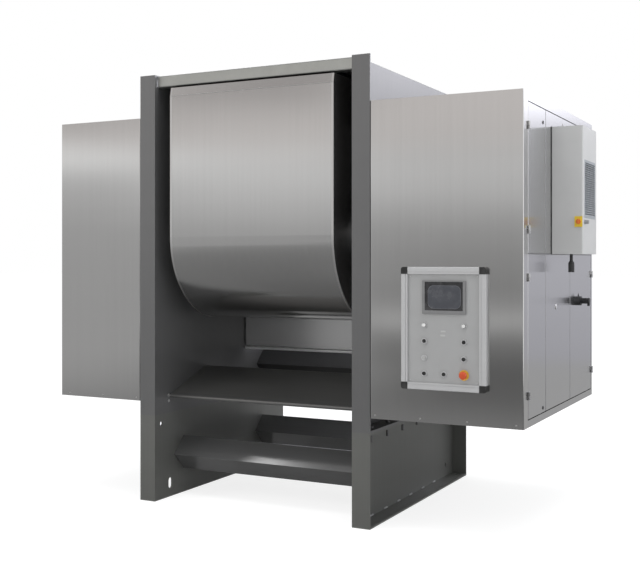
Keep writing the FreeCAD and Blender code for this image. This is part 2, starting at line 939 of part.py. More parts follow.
def shaft_bushes(name):
    """Bronze bushes in the trunnions, in which the agitator's shaft turns."""
    profile = [
        (S.shaft_radius + S.running_gap, 0),
        (S.trunnion_bore_radius, 0),
        (S.trunnion_bore_radius, S.bush_length),
        (S.shaft_radius + S.running_gap, S.bush_length),
    ]
    start = trunnion_end - S.gear_side_gap - S.bush_length
    right = turned(f"{name}_right", "x", (start, axis_y, axis_z), profile)
    return group(name, right, mirrored(f"{name}_left", right))


def shaft_seals(name):
    """Ring seals where the shaft enters the bowl."""
    profile = [
        (S.shaft_radius + S.running_gap, 0),
        (S.trunnion_bore_radius, 0),
        (S.trunnion_bore_radius, S.seal_width),
        (S.shaft_radius + S.running_gap, S.seal_width),
    ]
    right = turned(f"{name}_right", "x", (S.bowl_length / 2, axis_y, axis_z), profile)
    return group(name, right, mirrored(f"{name}_left", right))


def flanged_bearing(name, start, width, flange, boss_radius, boss, bore, inset, bolt_radius):
    """Square flange bearing on the tilt axis, from a wall outwards."""
    half = width / 2
    plate = box(
        f"{name}_flange",
        (start, start + flange),
        (axis_y - half, axis_y + half),
        (axis_z - half, axis_z + half),
    )
    hub = rod(f"{name}_boss", "x", (start, axis_y, axis_z), boss_radius, flange + boss)
    hole = rod(f"{name}_bore", "x", (start - flange, axis_y, axis_z), bore, (flange + boss) * 2)
    holes = [
        rod(f"{name}_hole_{i}{j}", "x", (start - flange, y, z), bolt_radius + S.bolt_hole_gap, flange * 3)
        for i, y in enumerate((axis_y - half + inset, axis_y + half - inset))
        for j, z in enumerate((axis_z - half + inset, axis_z + half - inset))
    ]
    return cut(name, fuse(f"{name}_casting", plate, hub), hole, *holes)


def flange_bearings(name):
    """The two trunnion bearings, and the smaller one at the driven end of the agitator's shaft."""
    right = flanged_bearing(
        f"{name}_right",
        web_out,
        S.bearing_width,
        S.bearing_flange,
        S.bearing_boss_radius,
        S.bearing_boss,
        S.journal_radius + S.running_gap,
        S.bearing_bolt_inset,
        S.bearing_bolt_radius,
    )
    outboard = flanged_bearing(
        f"{name}_outboard_right",
        main_plate_out,
        S.outboard_width,
        S.outboard_flange,
        S.outboard_boss_radius,
        S.outboard_boss,
        S.shaft_radius + S.running_gap,
        S.outboard_bolt_inset,
        S.outboard_bolt_radius,
    )
    return group(name, right, mirrored(f"{name}_left", right), mirrored(f"{name}_outboard", outboard))


def agitator_shaft(name):
    """Shaft through the bowl and both trunnions, thicker where it carries the paddles."""
    left_end = main_plate_out + S.outboard_flange + S.outboard_boss + S.gear_side_gap
    right_end = trunnion_end - S.gear_side_gap
    half = S.bowl_length / 2 - S.end_plate - S.mixing_shaft_end_gap
    profile = [
        (0, 0),
        (S.shaft_radius, 0),
        (S.shaft_radius, left_end - half),
        (S.mixing_shaft_radius, left_end - half),
        (S.mixing_shaft_radius, left_end + half),
        (S.shaft_radius, left_end + half),
        (S.shaft_radius, left_end + right_end),
        (0, left_end + right_end),
    ]
    return turned(name, "x", (-left_end, axis_y, axis_z), profile)


def paddle(name, x, angle):
    """Clamped hub, arm and a twisted blade whose edge follows the bowl's wall."""
    reach = S.bowl_radius - S.bowl_sheet - S.paddle_wall_gap
    half_hub = S.paddle_hub_width / 2
    hub = rod(f"{name}_hub", "x", (-half_hub, 0, 0), S.paddle_hub_radius, S.paddle_hub_width)
    half_width, half_depth = S.paddle_arm_width / 2, S.paddle_arm_depth / 2
    arm_top = reach - S.paddle_blade_height / 3
    arm = box(f"{name}_arm", (-half_width, half_width), (-half_depth, half_depth), (0, arm_top))
    blade = doc.addObject("Part::Box", f"{name}_blade")
    blade.Length = bind(blade, "Length", S.paddle_blade_width)
    blade.Width = bind(blade, "Width", S.paddle_blade_sheet)
    blade.Height = bind(blade, "Height", S.paddle_blade_height)
    twist = FreeCAD.Rotation(FreeCAD.Vector(0, 0, 1), SIZES["paddle_blade_twist"])
    half_blade = FreeCAD.Vector(SIZES["paddle_blade_width"] / 2, SIZES["paddle_blade_sheet"] / 2, 0)
    corner = twist.multVec(half_blade)
    place(blade, -corner.x, -corner.y, reach - S.paddle_blade_height, twist)
    sweep = rod(f"{name}_sweep", "x", (-S.paddle_blade_width, 0, 0), reach, S.paddle_blade_width * 2)
    trimmed = common(f"{name}_edge", fuse(f"{name}_parts", hub, arm, blade), sweep)
    hub_width = S.paddle_hub_width
    bore = rod(f"{name}_bore", "x", (-hub_width, 0, 0), S.mixing_shaft_radius, hub_width * 2)
    item = cut(name, trimmed, bore)
    place(item, x, axis_y, axis_z, FreeCAD.Rotation(FreeCAD.Vector(1, 0, 0), angle))
    return item


def agitator_paddles(name):
    """Paddles along the shaft, each a quarter turn and a step after the last."""
    swing = math.cos(math.radians(SIZES["paddle_blade_twist"]))
    half_blade = S.paddle_blade_width * swing / 2 + S.paddle_blade_sheet / 2
    end = S.bowl_length / 2 - S.end_plate - S.paddle_end_gap - half_blade
    pitch = end * 2 / (PADDLES - 1)
    return group(name, *[paddle(f"{name}_{i}", -end + pitch * i, 45 + 90 * i) for i in range(PADDLES)])


def tooth_flank(teeth):
    """Radius and half angle of an involute tooth, from its root to its tip."""
    module = SIZES["gear_module"]
    pressure = math.radians(SIZES["pressure_angle"])
    pitch = module * teeth / 2
    base = pitch * math.cos(pressure)
    foot = pitch - 1.25 * module
    half = math.pi / (2 * teeth) - SIZES["gear_backlash"] / (2 * pitch)

    def half_angle(radius):
        turn = math.acos(min(1.0, base / radius))
        rolled = math.tan(turn) - turn
        return half + math.tan(pressure) - pressure - rolled

    flank = [(radius, half_angle(max(radius, base))) for radius in (pitch, pitch + module)]
    start = max(foot, base)
    flank.insert(0, (start, half_angle(start)))
    if foot < base:
        flank.insert(0, (foot, half_angle(base)))
    return flank


def toothed_rim(teeth, angle, first, last):
    """Points round a toothed edge in the YZ plane. Tooth 0 points along the angle."""
    flank = tooth_flank(teeth)
    points = []
    for index in range(first, last + 1):
        middle = math.radians(angle) + index * 2 * math.pi / teeth
        for radius, half in flank:
            points.append((radius, middle - half))
        for radius, half in reversed(flank):
            points.append((radius, middle + half))
    return [FreeCAD.Vector(0, radius * math.cos(turn), radius * math.sin(turn)) for radius, turn in points]


def gear_blank(points, face):
    wire = Part.makePolygon([*points, points[0]])
    return Part.Face(wire).extrude(FreeCAD.Vector(face, 0, 0))


def along(radius, length, start=0.0, y=0.0, z=0.0):
    """A plain cylinder along X, for the gears."""
    return Part.makeCylinder(radius, length, FreeCAD.Vector(start, y, z), FreeCAD.Vector(1, 0, 0))


def gear_feature(name, shape, x, y, z):
    item = doc.addObject("Part::Feature", name)
    item.Shape = shape
    place(item, x, y, z)
    return item


def bull_gear(name):
    """Spur gear on the agitator's shaft, with a hub and lightening holes."""
    teeth, face = SIZES["bull_teeth"], SIZES["bull_face"]
    module = SIZES["gear_module"]
    hub_radius, hub_length = SIZES["bull_hub_radius"], SIZES["bull_hub_length"]
    rim_radius = module * teeth / 2 - SIZES["bull_rim_depth"]
    shape = gear_blank(toothed_rim(teeth, DRIVE_PINION_ANGLE, 0, teeth - 1), face)
    dish = SIZES["bull_dish"]
    ring = along(rim_radius, dish).cut(along(hub_radius, dish))
    shape = shape.cut(ring).cut(ring.translated(FreeCAD.Vector(face - dish, 0, 0)))
    shape = shape.fuse(along(hub_radius, hub_length, -hub_length))
    middle = (rim_radius + hub_radius) / 2
    window = SIZES["bull_window_radius"]
    for index in range(SIZES["bull_windows"]):
        turn = 2 * math.pi * (index + 0.5) / SIZES["bull_windows"]
        shape = shape.cut(along(window, face, 0, middle * math.cos(turn), middle * math.sin(turn)))
    shape = shape.cut(along(SIZES["shaft_radius"], face + hub_length, -hub_length)).removeSplitter()
    return gear_feature(name, shape, -bull_out, axis_y, axis_z)


def tilt_gear(name):
    """Toothed sector on the right trunnion. Its teeth reach past both ends of the tilt."""
    teeth, face = SIZES["tilt_teeth"], SIZES["tilt_face"]
    module = SIZES["gear_module"]
    pitch_angle = 360 / teeth
    spare = SIZES["tilt_spare_teeth"]
    ahead = math.ceil(SIZES["tilt_range"] / pitch_angle) + spare
    count = ahead + spare + 1
    centre = TILT_PINION_ANGLE - (ahead - spare) / 2 * pitch_angle
    points = toothed_rim(teeth, TILT_PINION_ANGLE, -ahead, spare)
    hub = SIZES["tilt_hub_radius"]
    shape = gear_blank([*points, FreeCAD.Vector(0, 0, 0)], face)
    shape = shape.fuse(along(hub, face))
    middle = (module * teeth / 2 - SIZES["tilt_rim_depth"] + hub) / 2
    window = SIZES["tilt_window_radius"]
    windows = SIZES["tilt_windows"]
    spread = (count * pitch_angle - math.degrees(2 * window / middle)) / windows
    for step in range(windows):
        turn = math.radians(centre + (step - (windows - 1) / 2) * spread)
        shape = shape.cut(along(window, face, 0, middle * math.cos(turn), middle * math.sin(turn)))
    shape = shape.cut(along(SIZES["journal_radius"], face)).removeSplitter()
    return gear_feature(name, shape, tilt_gear_in, axis_y, axis_z)


def pinion(name, side, start, face, z, angle, seat):
    """Pinion cut on its shaft, which runs out into the gear unit. side is 1 right, -1 left."""
    teeth = SIZES["pinion_teeth"]
    shape = gear_blank(toothed_rim(teeth, angle + 180 + 180 / teeth, 0, teeth - 1), face)
    tail = Part.makeCylinder(
        SIZES["pinion_shaft_radius"],
        seat.value - start.value,
        FreeCAD.Vector(0 if side > 0 else face, 0, 0),
        FreeCAD.Vector(side, 0, 0),
    )
    shape = shape.fuse(tail).removeSplitter()
    place_x = start if side > 0 else -(start + face)
    return gear_feature(name, shape, place_x, axis_y, z)


def drive_bracket(name, plate_in, half_width, low, high, shaft_z, hub_hole):
    """Welded bracket: two cheeks from the side frame and a plate that carries the gearmotor."""
    plate_out = plate_in + S.bracket_plate
    y_low, y_high = axis_y - half_width, axis_y + half_width
    plates = [
        box(f"{name}_plate", (plate_in, plate_out), (y_low, y_high), (low, high)),
        box(f"{name}_front_cheek", (web_out, plate_in), (y_low, y_low + S.bracket_side), (low, high)),
        box(f"{name}_rear_cheek", (web_out, plate_in), (y_high - S.bracket_side, y_high), (low, high)),
    ]
    opening = S.pinion_shaft_radius + S.shaft_opening_gap
    margin = S.bracket_plate
    holes = [rod(f"{name}_opening", "x", (plate_in - margin, axis_y, shaft_z), opening, margin * 3)]
    if hub_hole:
        radius = S.shaft_radius + S.shaft_opening_gap
        holes.append(rod(f"{name}_hub", "x", (plate_in - margin, axis_y, axis_z), radius, margin * 3))
    return cut(name, fuse(f"{name}_weldment", *plates), *holes)


def drive_brackets(name):
    main = drive_bracket(
        f"{name}_main",
        main_plate_in,
        S.main_bracket_half_width,
        drive_pinion_z - S.bracket_bottom,
        axis_z + S.main_bracket_top,
        drive_pinion_z,
        True,
    )
    tilt = drive_bracket(
        f"{name}_tilt",
        tilt_plate_in,
        S.tilt_bracket_half_width,
        tilt_pinion_z - S.bracket_bottom,
        tilt_pinion_z + S.tilt_bracket_top,
        tilt_pinion_z,
        False,
    )
    return group(name, mirrored(f"{name}_left", main), tilt)


def gearmotor(name, start, z):
    """Right-angle gear unit on its flange, with a finned motor that hangs below it."""
    face = start + S.unit_flange
    low = z - S.unit_height / 2
    middle_x = face + S.unit_length / 2
    neck = S.motor_neck_length
    motor_top = low - neck
    pieces = [
        rod(f"{name}_flange", "x", (start, axis_y, z), S.unit_flange_radius, S.unit_flange),
        box(
            f"{name}_unit",
            (face, face + S.unit_length),
            (axis_y - S.unit_half_width, axis_y + S.unit_half_width),
            (low, low + S.unit_height),
        ),
        rod(f"{name}_neck", "z", (middle_x, axis_y, motor_top), S.motor_neck_radius, neck),
        rod(
            f"{name}_motor",
            "z",
            (middle_x, axis_y, motor_top - S.motor_length),
            S.motor_radius,
            S.motor_length,
        ),
    ]
    fin_low = motor_top - S.motor_length + S.motor_cowl_length
    fin_high = motor_top - S.motor_fin
    reach = S.motor_radius + S.motor_fin
    half = S.motor_fin_width / 2
    span = (axis_y - reach, axis_y + reach)
    for step in range(-3, 4):
        x = middle_x + S.motor_fin_pitch * step
        pieces.append(box(f"{name}_fin_{step + 3}", (x - half, x + half), span, (fin_low, fin_high)))
    box_half = S.terminal_box_width / 2
    pieces.append(
        box(
            f"{name}_terminals",
            (middle_x - box_half, middle_x + box_half),
            (axis_y, axis_y + S.terminal_box_reach),
            (fin_high - S.terminal_box_width, fin_high - S.motor_fin),
        )
    )
    seat = rod(
        f"{name}_seat",
        "x",
        (start - S.unit_flange, axis_y, z),
        S.pinion_shaft_radius + S.running_gap,
        S.unit_flange * 2 + S.unit_seat_depth,
    )
    return cut(name, fuse(f"{name}_body", *pieces), seat)


def casing_front(name, outer, corner, cutout=None):
    """Front cover of a casing: one folded sheet with a return at each side."""
    line = [
        (casing_in, front + S.plain_return),
        (casing_in, front),
        (outer, front),
        (outer, front + corner),
    ]
    corners, arcs = folded_section(line, S.casing_sheet, S.casing_bend)
    height = casing_top - S.casing_bottom
    folded = pad(f"{name}_sheet", "XY_Plane", S.casing_bottom, height, corners, arcs)
    return cut(name, folded, cutout) if cutout else folded


def casing_sheets(name, inner_edge):
    """Top, floor and rear sheets of a casing, out to inner_edge, clear of the front cover's bends."""
    skin, bend = S.casing_sheet, S.casing_bend
    y_low, y_high = front + skin, casing_back - skin
    corners = [
        (casing_in + skin, front + bend),
        (casing_in + bend, y_low),
        (inner_edge + skin - bend, y_low),
        (inner_edge, front + bend),
        (inner_edge, y_high),
        (web_out, y_high),
        (web_out, front + S.plain_return),
        (casing_in + skin, front + S.plain_return),
    ]
    return [
        pad(f"{name}_top", "XY_Plane", casing_top - skin, skin, corners),
        pad(f"{name}_floor", "XY_Plane", S.casing_bottom, skin, corners),
        box(f"{name}_rear", (web_out, inner_edge), (y_high, casing_back), (S.casing_bottom, casing_top)),
    ]


def left_casing(front_name, sheets_name):
    cover = casing_front(f"{front_name}_right", S.left_casing_reach, S.plain_return)
    edge = S.left_casing_reach - S.casing_sheet
    sheets = casing_sheets(f"{sheets_name}_right", edge)
    side = box(
        f"{sheets_name}_side",
        (edge, S.left_casing_reach),
        (front + S.plain_return, casing_back),
        (S.casing_bottom, casing_top),
    )
    return mirrored(front_name, cover), mirrored(sheets_name, group(f"{sheets_name}_set", *sheets, side))


def right_casing_front(name):
    """Front cover with the opening for the operator panel."""
    inset = S.panel_cutout_inset
    opening = box(
        f"{name}_opening",
        (panel_x[0] + inset, panel_x[1] - inset),
        (front - S.casing_sheet, front + S.casing_sheet * 2),
        (panel_z[0] + inset, panel_z[1] - inset),
    )
    return casing_front(name, side_face, S.corner_return, opening)


def side_door_frame(name):
    """Sill, rim and stile flush with the doors, and the recessed stops that they close on."""
    low, high = S.casing_bottom + S.sill_height, casing_top - S.rim_height
    y_front = front + S.corner_return
    y_rear = casing_back - S.rear_stile
    stop = (stop_in, stop_out)
    half = S.door_stop_width / 2
    split = (S.split_height - half, S.split_height + half)
    front_stop_end = front_seam + half
    rear_stop_start = rear_seam - half
    return group(
        name,
        box(f"{name}_sill", (rim_in, side_face), (y_front, casing_back), (S.casing_bottom, low)),
        box(f"{name}_rim", (rim_in, side_face), (y_front, casing_back), (high, casing_top)),
        box(f"{name}_stile", (stop_out, side_face), (y_rear, casing_back), (low, high)),
        box(f"{name}_front_stop", stop, (front_seam - half, front_stop_end), (low, high)),
        box(f"{name}_rear_stop", stop, (rear_stop_start, casing_back - S.casing_sheet), (low, high)),
        box(f"{name}_mullion", stop, (middle_seam - half, middle_seam + half), (low, high)),
        box(f"{name}_front_rail", stop, (front_stop_end, middle_seam - half), split),
        box(f"{name}_rear_rail", stop, (middle_seam + half, rear_stop_start), split),
        box(f"{name}_lower_mullion", stop, (lower_seam - half, lower_seam + half), (low, split[0])),
    )


def door_skin(name, y, z, inner):
    """Folded tray: a face sheet with a return on each edge."""
    skin = S.door_sheet
    line = [(inner, y[0]), (side_face, y[0]), (side_face, y[1]), (inner, y[1])]
    corners, arcs = folded_section(line, skin, S.door_bend)
    between = (inner, side_face - skin), (y[0] + skin, y[1] - skin)
    return fuse(
        name,
        pad(f"{name}_face", "XY_Plane", z[0], z[1] - z[0], corners, arcs),
        box(f"{name}_low_edge", *between, (z[0], z[0] + skin)),
        box(f"{name}_high_edge", *between, (z[1] - skin, z[1])),
    )


def hinged_door(name, y, z, seam, side):
    """Door with two hinge knuckles. side is 1 where the door runs to +Y from its hinges."""
    pieces = [door_skin(f"{name}_skin", y, z, door_in)]
    pins = []
    for end, middle in (("low", z[0] + S.hinge_inset), ("high", z[1] - S.hinge_inset)):
        tag = f"{name}_{end}_knuckle"
        barrel = rod(tag, "z", (hinge_x, seam, middle), S.hinge_knuckle_radius, S.hinge_knuckle_length)
        pins.append(
            rod(
                f"{tag}_bore",
                "z",
                (hinge_x, seam, middle - S.hinge_leaf),
                S.hinge_pin_radius + S.running_gap,
                S.hinge_knuckle_length + S.hinge_leaf * 2,
            )
        )
        reach = (seam + S.hinge_knuckle_radius / 2, seam + S.hinge_leaf_width)
        if side < 0:
            reach = (seam - S.hinge_leaf_width, seam - S.hinge_knuckle_radius / 2)
        leaf = box(
            f"{tag}_leaf",
            (side_face, side_face + S.hinge_leaf),
            reach,
            (middle, middle + S.hinge_knuckle_length),
        )
        pieces += [barrel, leaf]
    return cut(name, fuse(f"{name}_body", *pieces), *pins)


def door_hinge(name, seam, middle):
    """Fixed half of a hinge: a leaf through the seam, a knuckle and its pin."""
    half = S.hinge_leaf / 2
    length = S.hinge_knuckle_length
    return fuse(
        name,
        box(f"{name}_leaf", (stop_out, hinge_x), (seam - half, seam + half), (middle - length, middle)),
        rod(f"{name}_knuckle", "z", (hinge_x, seam, middle - length), S.hinge_knuckle_radius, length),
        rod(f"{name}_pin", "z", (hinge_x, seam, middle - length), S.hinge_pin_radius, length * 2),
    )


half_gap = S.door_gap / 2
service_span = (front_seam + half_gap, middle_seam - half_gap)
cabinet_span = (middle_seam + half_gap, rear_seam - half_gap)
lower_door_span = (lower_seam + half_gap, rear_seam - half_gap)
upper_storey = (S.split_height + half_gap, doors_high)
lower_storey = (doors_low, S.split_height - half_gap)

HINGED = {
    "upper_service_door": (service_span, upper_storey, front_seam, 1),
    "lower_service_door": (service_span, lower_storey, front_seam, 1),
    "cabinet_door": (cabinet_span, upper_storey, rear_seam, -1),
    "lower_right_door": (lower_door_span, lower_storey, rear_seam, -1),
}


def door_hinges(name):
    hinges = []
    for door, (_, span, seam, _) in HINGED.items():
        for end, middle in (("low", span[0] + S.hinge_inset), ("high", span[1] - S.hinge_inset)):
            hinges.append(door_hinge(f"{name}_{door}_{end}", seam, middle))
    return group(name, *hinges)


def lower_left_panel(name):
    """Lift-off cover beside the lower door, seated on the stops."""
    span = (middle_seam + half_gap, lower_seam - half_gap)
    return door_skin(name, span, lower_storey, stop_out)


def control_board(name):
    """Partition behind the cabinet and the control gear that stands on it."""
    skin = S.casing_sheet
    face = S.partition_reach + skin
    y_low, y_high = front + S.partition_setback, casing_back - skin
    z_low, z_high = S.casing_bottom + skin, casing_top - skin
    pieces = [box(f"{name}_partition", (S.partition_reach, face), (y_low, y_high), (z_low, z_high))]

    def device(label, y, z, width, height, depth):
        pieces.append(box(f"{name}_{label}", (face, face + depth), (y, y + width), (z, z + height)))

    gear_y = middle_seam + S.gear_margin
    gear_z = doors_high - S.gear_margin
    duct_length = rear_seam - S.gear_margin - gear_y
    for row in range(3):
        duct_z = gear_z - S.duct_height - S.gear_row_pitch * row
        device(f"duct_{row}", gear_y, duct_z, duct_length, S.duct_height, S.duct_depth)
    device_y = gear_y + S.gear_gap
    first_row = gear_z - S.duct_height - S.gear_gap
    second_row = first_row - S.gear_row_pitch
    widths = {"main_drive": S.drive_width, "tilt_drive": S.tilt_drive_width, "supply": S.supply_width}
    for label, width in widths.items():
        device(label, device_y, first_row - S.drive_height, width, S.drive_height, S.drive_depth)
        device_y = device_y + width + S.gear_gap
    breaker = (S.breaker_width, S.breaker_height, S.duct_depth)
    for step in range(6):
        breaker_y = device_y + (S.breaker_width + S.breaker_gap) * step
        device(f"breaker_{step}", breaker_y, first_row - S.breaker_height, *breaker)
    contactor = (S.contactor_width, S.contactor_height, S.contactor_depth)
    for step in range(5):
        contactor_y = gear_y + S.gear_gap + (S.contactor_width + S.contactor_gap) * step
        device(f"contactor_{step}", contactor_y, second_row - S.contactor_height, *contactor)
    terminals_y = rear_seam - S.gear_margin - S.terminal_width
    terminals = (S.terminal_width, S.duct_height, S.terminal_depth)
    device("terminals", terminals_y, second_row - S.duct_height, *terminals)
    device("transformer", gear_y, doors_low + S.drive_height, S.drive_width, S.drive_width, S.drive_depth)
    device(
        "main_breaker",
        front + S.switch_setback - S.main_breaker_width / 2,
        S.switch_height - S.main_breaker_height / 2,
        S.main_breaker_width,
        S.main_breaker_height,
        S.contactor_depth,
    )
    return group(name, *pieces)


cooler_y = front + S.cooler_setback
cooler_x = side_face + S.cooler_depth
cooler_z = S.split_height
cooler_middle = cooler_y + S.cooler_width / 2
grille_z = cooler_z + S.grille_low
fan_x = cooler_x - S.grille_depth - S.fan_behind_grille
fan_z = grille_z + S.grille_height / 2


def ac_housing(name):
    """Sheet-metal box of the cooling unit, open at the grille, with the fan's motor inside."""
    skin = S.cooler_sheet
    y = (cooler_y, cooler_y + S.cooler_width)
    z = (cooler_z, cooler_z + S.cooler_height)
    line = [(side_face, y[0]), (cooler_x, y[0]), (cooler_x, y[1]), (side_face, y[1])]
    corners, arcs = folded_section(line, skin, S.cooler_bend)
    between = (side_face, cooler_x - skin), (y[0] + skin, y[1] - skin)
    shell = fuse(
        f"{name}_shell",
        pad(f"{name}_cover", "XY_Plane", z[0], S.cooler_height, corners, arcs),
        box(f"{name}_floor", *between, (z[0], z[0] + skin)),
        box(f"{name}_roof", *between, (z[1] - skin, z[1])),
        box(f"{name}_back", (side_face, side_face + skin), between[1], z),
    )
    half = S.grille_width / 2
    opening = box(
        f"{name}_opening",
        (cooler_x - skin * 2, cooler_x + skin),
        (cooler_middle - half, cooler_middle + half),
        (grille_z, grille_z + S.grille_height),
    )
    motor_end = fan_x - S.fan_depth - S.fan_shaft_radius
    motor = rod(
        f"{name}_motor",
        "x",
        (side_face + skin / 2, cooler_middle, fan_z),
        S.fan_hub_radius,
        motor_end - side_face - skin / 2,
    )
    spindle = rod(
        f"{name}_spindle",
        "x",
        (side_face + skin / 2, cooler_middle, fan_z),
        S.fan_shaft_radius,
        fan_x - side_face - skin,
    )
    return fuse(name, cut(f"{name}_case", shell, opening), motor, spindle)


def ac_grille(name):
    """Rim and sloping slats in the cooling unit's opening."""
    half = S.grille_width / 2
    y = (cooler_middle - half, cooler_middle + half)
    z = (grille_z, grille_z + S.grille_height)
    x = (cooler_x - S.grille_depth, cooler_x)
    plate = box(f"{name}_plate", x, y, z)
    rim = S.grille_rim
    window = box(
        f"{name}_window",
        (x[0] - rim, x[1] + rim),
        (y[0] + rim, y[1] - rim),
        (z[0] + rim, z[1] - rim),
    )
    pitch = (S.grille_height - rim * 2) / S.grille_slats
    drop = S.grille_slat_drop
    slats = []
    for step in range(SIZES["grille_slats"]):
        low = z[0] + rim + pitch * step
        corners = [
            (x[0], low + drop),
            (x[1], low),
            (x[1], low + S.grille_slat_sheet),
            (x[0], low + drop + S.grille_slat_sheet),
        ]
        slat = pad(f"{name}_slat_{step}", "XZ_Plane", rim / 2 - y[1], S.grille_width - rim, corners)
        slats.append(slat)
    return fuse(name, cut(f"{name}_rim", plate, window), *slats)


def ac_fan(name):
    """Axial fan behind the grille."""
    depth = S.fan_depth
    hub = rod(f"{name}_hub", "x", (-depth, 0, 0), S.fan_hub_radius, depth)
    blades = []
    sheet_half, chord_half = SIZES["fan_blade_sheet"] / 2, SIZES["fan_blade_chord"] / 2
    root_radius = SIZES["fan_hub_radius"] / 2
    pitch = FreeCAD.Rotation(FreeCAD.Vector(0, 0, 1), SIZES["fan_blade_pitch"])
    for step in range(SIZES["fan_blades"]):
        blade = doc.addObject("Part::Box", f"{name}_blade_{step}")
        blade.Length = bind(blade, "Length", S.fan_blade_sheet)
        blade.Width = bind(blade, "Width", S.fan_blade_chord)
        blade.Height = bind(blade, "Height", S.fan_radius - S.fan_hub_radius / 2)
        spin = FreeCAD.Rotation(FreeCAD.Vector(1, 0, 0), 360 * step / SIZES["fan_blades"])
        corner = spin.multVec(pitch.multVec(FreeCAD.Vector(-sheet_half, -chord_half, root_radius)))
        place(blade, -depth / 2 + corner.x, corner.y, corner.z, spin.multiply(pitch))
        blades.append(blade)
    slab = rod(f"{name}_sweep", "x", (-depth, 0, 0), S.fan_radius, depth)
    body = common(f"{name}_trim", fuse(f"{name}_body", hub, *blades), slab)
    bore = rod(f"{name}_bore", "x", (-depth * 2, 0, 0), S.fan_shaft_radius + S.running_gap, depth * 3)
    item = cut(name, body, bore)
    place(item, fan_x, cooler_middle, fan_z)
    return item


def condensate_boot(name):
    """Rubber drain boot under the cooling unit."""
    at = (side_face + S.boot_reach, front + S.boot_setback, cooler_z)
    profile = [
        (S.boot_bore_radius, -S.boot_length),
        (S.boot_bottom_radius, -S.boot_length),
        (S.boot_bottom_radius, -S.boot_neck - S.boot_shoulder),
        (S.boot_top_radius, -S.boot_neck),
        (S.boot_top_radius, 0),
        (S.boot_bore_radius, 0),
    ]
    return turned(name, "z", at, profile)


isolator_x = cooler_x - S.isolator_width / 2 - S.cooler_sheet
isolator_z = cooler_z + S.isolator_low + S.isolator_height / 2


def isolator_plate(name):
    half_width, half_height = S.isolator_width / 2, S.isolator_height / 2
    plate = box(
        f"{name}_blank",
        (isolator_x - half_width, isolator_x + half_width),
        (cooler_y - S.isolator_sheet, cooler_y),
        (isolator_z - half_height, isolator_z + half_height),
    )
    hole = rod(
        f"{name}_hole",
        "y",
        (isolator_x, cooler_y - S.isolator_sheet * 2, isolator_z),
        S.isolator_shaft_radius + S.running_gap,
        S.isolator_sheet * 2,
    )
    return cut(name, plate, hole)


def isolator_knob(name):
    """Rotary knob with a grip bar, on a spindle in its plate."""
    face = cooler_y - S.isolator_sheet
    disc = S.isolator_disc_depth
    grip = S.isolator_grip_width / 2
    start = face - S.isolator_knob_depth
    return fuse(
        name,
        rod(f"{name}_disc", "y", (isolator_x, face - disc, isolator_z), S.isolator_knob_radius, disc),
        rod(
            f"{name}_spindle",
            "y",
            (isolator_x, face - disc, isolator_z),
            S.isolator_shaft_radius,
            disc + S.isolator_sheet,
        ),
        box(
            f"{name}_grip",
            (isolator_x - grip, isolator_x + grip),
            (start, face - disc / 2),
            (isolator_z - S.isolator_knob_radius, isolator_z + S.isolator_knob_radius),
        ),
    )


switch_y = front + S.switch_setback
switch_z = S.switch_height
switch_face = side_face + S.switch_base_depth


def main_switch_base(name):
    """Round base with a pointer on top and a bore for the handle's shaft."""
    start = (side_face, switch_y, switch_z)
    body = rod(f"{name}_drum", "x", start, S.switch_base_radius, S.switch_base_depth)
    pointer = taper(
        f"{name}_pointer",
        "z",
        (side_face + S.switch_base_depth / 2, switch_y, switch_z + S.switch_base_radius - S.pointer_radius),
        S.pointer_radius,
        S.pointer_tip_radius,
        S.pointer_radius + S.pointer_length,
    )
    bore = rod(
        f"{name}_bore",
        "x",
        (side_face + S.switch_base_depth / 3, switch_y, switch_z),
        S.switch_shaft_radius + S.running_gap,
        S.switch_base_depth,
    )
    return cut(name, fuse(f"{name}_body", body, pointer), bore)


def main_switch_handle(name):
    """Grip on a shaft in the base, with a cranked arm and a ball."""
    gap = S.hinge_leaf
    start = switch_face + gap
    inner = side_face + S.switch_base_depth / 2
    ball_y = switch_y + S.switch_arm_side
    ball_z = switch_z - S.switch_arm_drop
    arm_x = start + S.switch_grip_depth - S.switch_arm_radius
    return fuse(
        name,
        rod(f"{name}_shaft", "x", (inner, switch_y, switch_z), S.switch_shaft_radius, start - inner + gap),
        rod(f"{name}_grip", "x", (start, switch_y, switch_z), S.switch_grip_radius, S.switch_grip_depth),
        box(
            f"{name}_arm",
            (arm_x - S.switch_arm_radius, arm_x + S.switch_arm_radius),
            (switch_y, ball_y),
            (ball_z, switch_z),
        ),
        ball(f"{name}_ball", (arm_x, ball_y, ball_z), S.switch_ball_radius),
    )


plate_front = front - S.panel_depth + S.panel_plate_recess
plate_back = plate_front + S.panel_plate_sheet
BUTTONS = {
    "white_button_left": (-1, S.top_button_height),
    "white_button_right": (1, S.top_button_height),
    "selector_left": (-1, S.selector_height),
    "selector_right": (1, S.selector_height),
    "start_button_left": (-1, S.start_button_height),
    "start_button_right": (1, S.start_button_height),
    "black_button_left": (-1, S.bottom_button_height),
    "black_button_middle": (0, S.bottom_button_height),
    "estop_button": (1, S.bottom_button_height),
}


def button_place(name):
    column, height = BUTTONS[name]
    return control_middle + S.button_pitch * column, panel_z[0] + height


def profile_section(edge, inward):
    """Section of the panel's profile: a rounded front edge and a groove.

    edge is the profile's outer edge and inward is 1 or -1, towards the panel's middle.
    """
    radius = S.profile_edge_radius
    face = front - S.panel_depth
    groove = edge + S.profile_groove_inset * inward
    groove_end = groove + S.profile_groove_width * inward
    inner = edge + S.panel_profile * inward
    corners = [
        (edge, front),
        (edge, face + radius),
        (edge + radius * inward, face),
        (groove, face),
        (groove, face + S.profile_groove_depth),
        (groove_end, face + S.profile_groove_depth),
        (groove_end, face),
        (inner, face),
        (inner, front),
    ]
    return corners, {1: ((edge + radius * inward, face + radius), inward > 0)}


